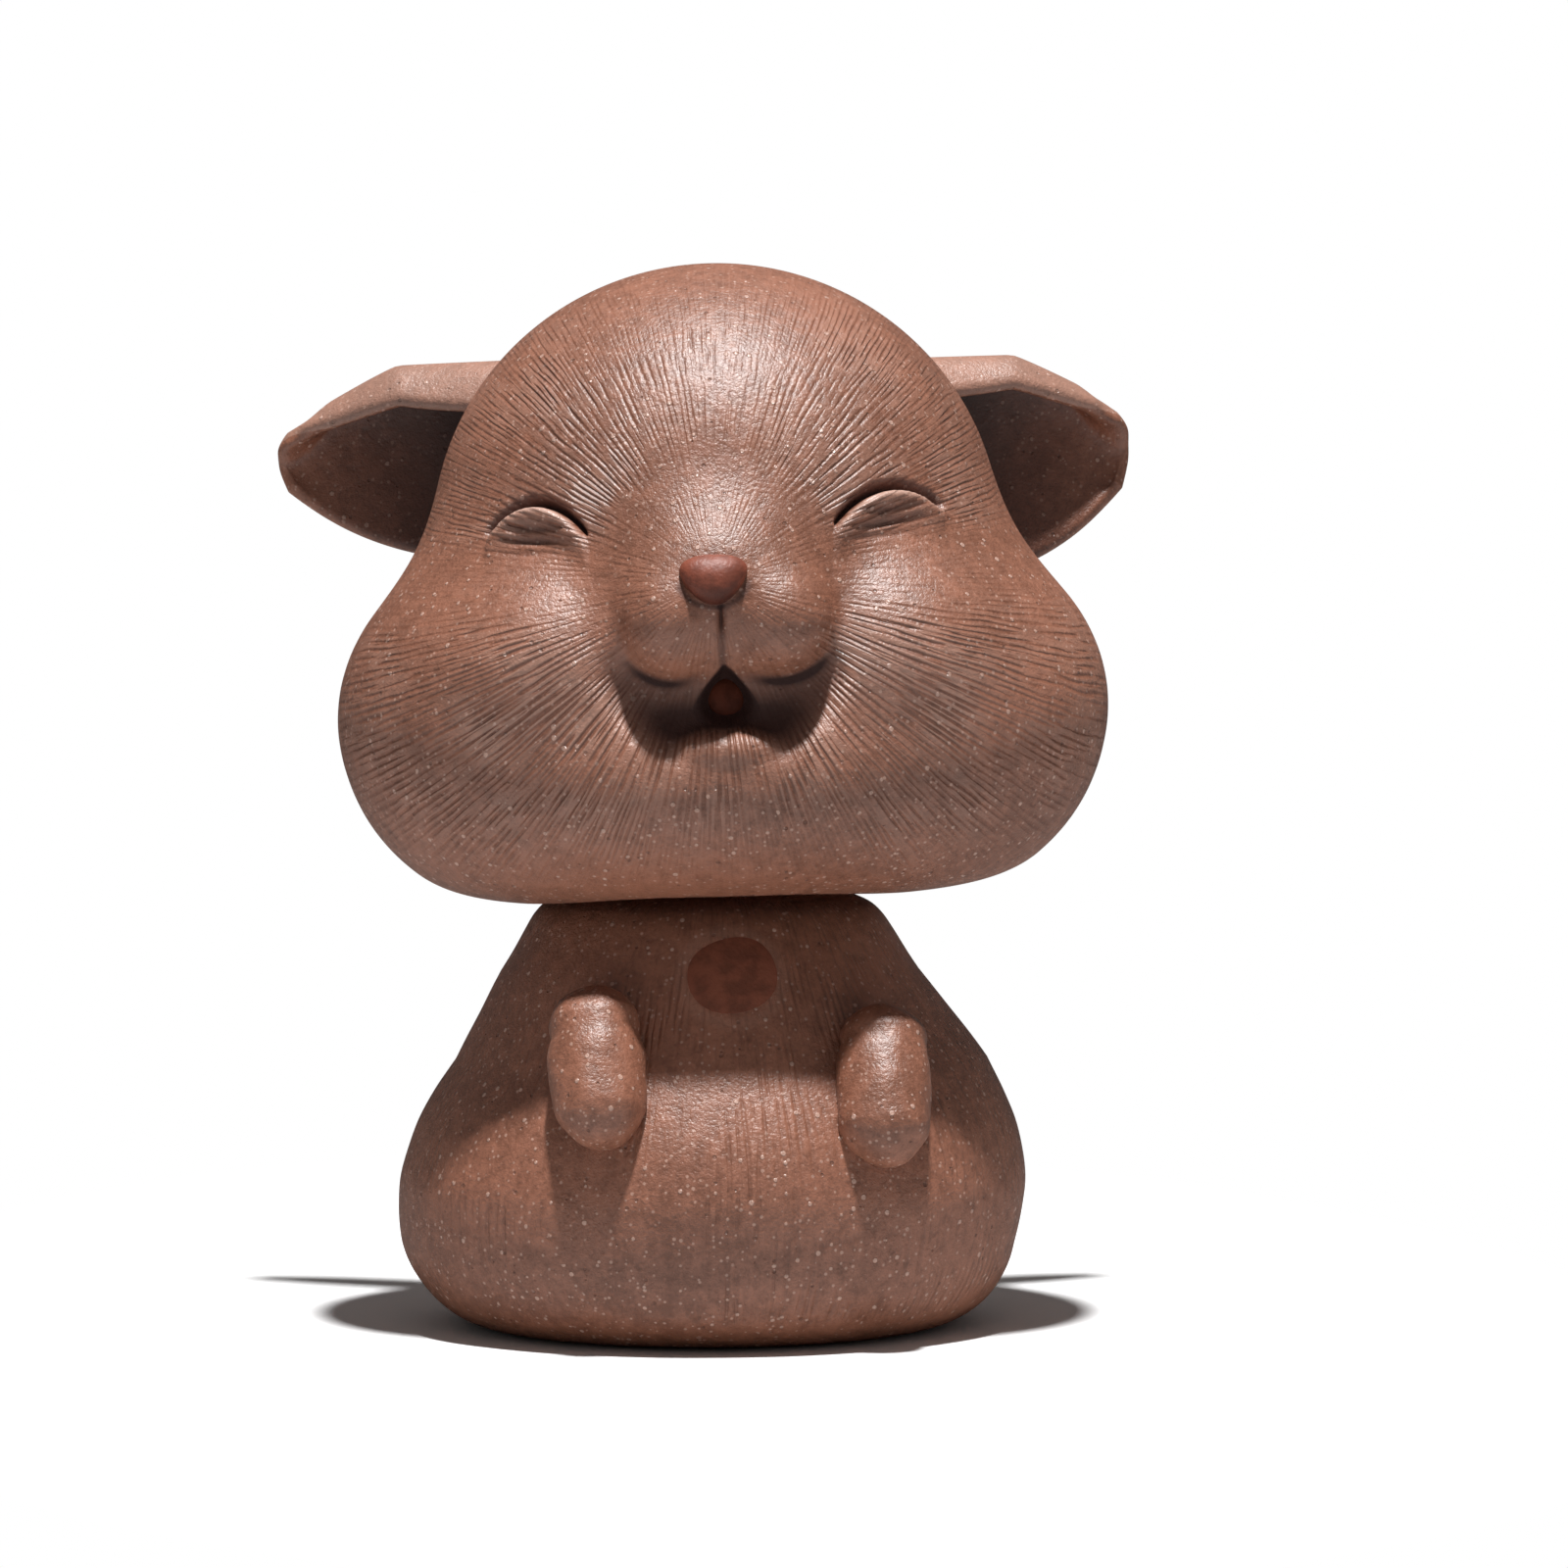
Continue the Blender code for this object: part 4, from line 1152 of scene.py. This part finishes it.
class TEAPET_OT_arms(Operator):
    """Lay the two raised arms on the belly"""

    bl_idname = "teapet.arms"
    bl_label = "Arms"

    def execute(self, context):
        sizes = context.scene.teapet_body
        material = smooth_clay("arm_clay", context.scene.teapet_clay)
        for side, arm in ARMS.items():
            lobe = model_arm("arm_lobe_" + side, arm, sizes.arm_width, sizes.arm_length)
            finish_piece(lobe, "base", ["arm_" + side], material)
        return {"FINISHED"}


class TEAPET_OT_neck(Operator):
    """Give the spring, its two plugs and the head's floor their finishes"""

    bl_idname = "teapet.neck"
    bl_label = "Neck"

    def execute(self, context):
        plain = smooth_clay("plug_clay", context.scene.teapet_clay)
        finishes = dict.fromkeys(("neck_seat", "head_seat", "head_floor"), plain)
        finishes["neck_spring"] = spring_steel()
        for name, material in finishes.items():
            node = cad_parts[name]
            node.data.materials.clear()
            node.data.materials.append(material)
        return {"FINISHED"}


def floor_finish():
    """Pale floor with a shadow near the object; the camera sees plain white further out."""
    finish = Finish("pale_floor", roughness=0.9, specular=0.0)
    camera = finish.node("ShaderNodeLightPath", output="Is Camera Ray")
    glossy = finish.node("ShaderNodeLightPath", output="Is Glossy Ray")
    unseen = finish.blend(glossy, (0.72, 0.72, 0.72), (0.15, 0.15, 0.15))
    finish.surface(finish.blend(camera, unseen, (0.93, 0.93, 0.93)))
    across, back, _ = finish.parts(finish.place())
    away = finish.math("SQRT", across * across + back * back * 0.35)
    far = finish.step(away, 55.0, 80.0)
    white = finish.node("ShaderNodeEmission", values={"Color": WHITE, "Strength": 1.0})
    shader = Tone(finish, finish.shader.outputs[0])
    mixed = finish.node("ShaderNodeMixShader", values={0: far * camera, 1: shader, 2: white})
    finish.feed(finish.tree.nodes["Material Output"].inputs["Surface"], mixed)
    return finish.material


def light_world(strength):
    """Soft even light; plain white where it is seen."""
    world = bpy.data.worlds.new("studio")
    world.use_nodes = True
    tree = world.node_tree
    tree.nodes.clear()
    soft = tree.nodes.new("ShaderNodeBackground")
    soft.inputs["Strength"].default_value = strength
    soft.inputs["Color"].default_value = WHITE
    white = tree.nodes.new("ShaderNodeBackground")
    white.inputs["Color"].default_value = WHITE
    paths = tree.nodes.new("ShaderNodeLightPath")
    either = tree.nodes.new("ShaderNodeMath")
    either.operation = "MAXIMUM"
    tree.links.new(paths.outputs["Is Camera Ray"], either.inputs[0])
    tree.links.new(paths.outputs["Is Transmission Ray"], either.inputs[1])
    mix = tree.nodes.new("ShaderNodeMixShader")
    tree.links.new(either.outputs[0], mix.inputs[0])
    tree.links.new(soft.outputs[0], mix.inputs[1])
    tree.links.new(white.outputs[0], mix.inputs[2])
    output = tree.nodes.new("ShaderNodeOutputWorld")
    tree.links.new(mix.outputs[0], output.inputs["Surface"])
    bpy.context.scene.world = world


def aim_object(obj, place, aim):
    """Link an object and stand it at a place, looking at another."""
    obj.location = place
    obj.rotation_euler = (Vector(aim) - Vector(place)).to_track_quat("-Z", "Y").to_euler()
    bpy.context.scene.collection.objects.link(obj)


def add_key_lamp(power):
    """Round lamp overhead."""
    lamp = bpy.data.lights.new("key_lamp", "AREA")
    lamp.shape = "DISK"
    lamp.size = KEY_SIZE
    lamp.energy = power
    aim_object(bpy.data.objects.new("key_lamp", lamp), KEY_PLACE, KEY_AIM)


def add_camera():
    """Camera at the photograph's viewing angle."""
    right = Vector((math.cos(CAMERA_AZIMUTH), math.sin(CAMERA_AZIMUTH), 0.0))
    back = Vector((math.sin(CAMERA_AZIMUTH), -math.cos(CAMERA_AZIMUTH), 0.0))
    up = Vector((0.0, 0.0, 1.0))
    aim = right * CAMERA_AIM_RIGHT + up * CAMERA_AIM_HEIGHT
    away = back * math.cos(CAMERA_ELEVATION) + up * math.sin(CAMERA_ELEVATION)
    camera = bpy.data.cameras.new("photo_camera")
    camera.lens = CAMERA_LENS
    camera.sensor_width = CAMERA_SENSOR
    obj = bpy.data.objects.new("photo_camera", camera)
    aim_object(obj, aim + away * CAMERA_DISTANCE, aim)
    bpy.context.scene.camera = obj


class TEAPET_OT_stage(Operator):
    """Lay the floor, hang the lamp and stand the camera"""

    bl_idname = "teapet.stage"
    bl_label = "Stage"

    def execute(self, context):
        sizes = context.scene.teapet_stage
        bm = bmesh.new()
        bmesh.ops.create_grid(bm, x_segments=1, y_segments=1, size=FLOOR_HALF_WIDTH)
        floor = add_object("floor", bm)
        floor.data.materials.append(floor_finish())
        light_world(sizes.sky)
        add_key_lamp(sizes.key_power)
        add_camera()
        context.scene.view_settings.view_transform = "Standard"
        return {"FINISHED"}


OPERATORS = (
    TEAPET_OT_stage,
    TEAPET_OT_body,
    TEAPET_OT_arms,
    TEAPET_OT_neck,
    TEAPET_OT_head,
    TEAPET_OT_face,
    TEAPET_OT_ears,
)


class TEAPET_PT_sidebar(Panel):
    """Lists the pieces of the tea pet"""

    bl_idname = "TEAPET_PT_sidebar"
    bl_label = "Tea Pet"
    bl_space_type = "VIEW_3D"
    bl_region_type = "UI"
    bl_category = "Tea Pet"

    def draw(self, context):
        column = self.layout.column()
        scene = context.scene
        for operator in OPERATORS:
            column.operator(operator.bl_idname)
        for group in (scene.teapet_head, scene.teapet_body, scene.teapet_clay, scene.teapet_stage):
            for name in group.bl_rna.properties.keys():
                if name not in ("rna_type", "name"):
                    column.prop(group, name)


CLASSES = (HeadSizes, BodySizes, ClayColours, StageSizes) + OPERATORS + (TEAPET_PT_sidebar,)


def register():
    """Add the classes and the settings they use."""
    for item in CLASSES:
        bpy.utils.register_class(item)
    bpy.types.Scene.teapet_head = PointerProperty(type=HeadSizes)
    bpy.types.Scene.teapet_body = PointerProperty(type=BodySizes)
    bpy.types.Scene.teapet_clay = PointerProperty(type=ClayColours)
    bpy.types.Scene.teapet_stage = PointerProperty(type=StageSizes)


def unregister():
    """Take them away again."""
    del bpy.types.Scene.teapet_stage
    del bpy.types.Scene.teapet_clay
    del bpy.types.Scene.teapet_body
    del bpy.types.Scene.teapet_head
    for item in reversed(CLASSES):
        bpy.utils.unregister_class(item)


def main():
    """Build everything."""
    register()
    bpy.ops.teapet.stage()
    bpy.ops.teapet.body()
    bpy.ops.teapet.arms()
    bpy.ops.teapet.neck()
    bpy.ops.teapet.head()
    bpy.ops.teapet.face()
    bpy.ops.teapet.ears()


if __name__ == "__main__":
    main()
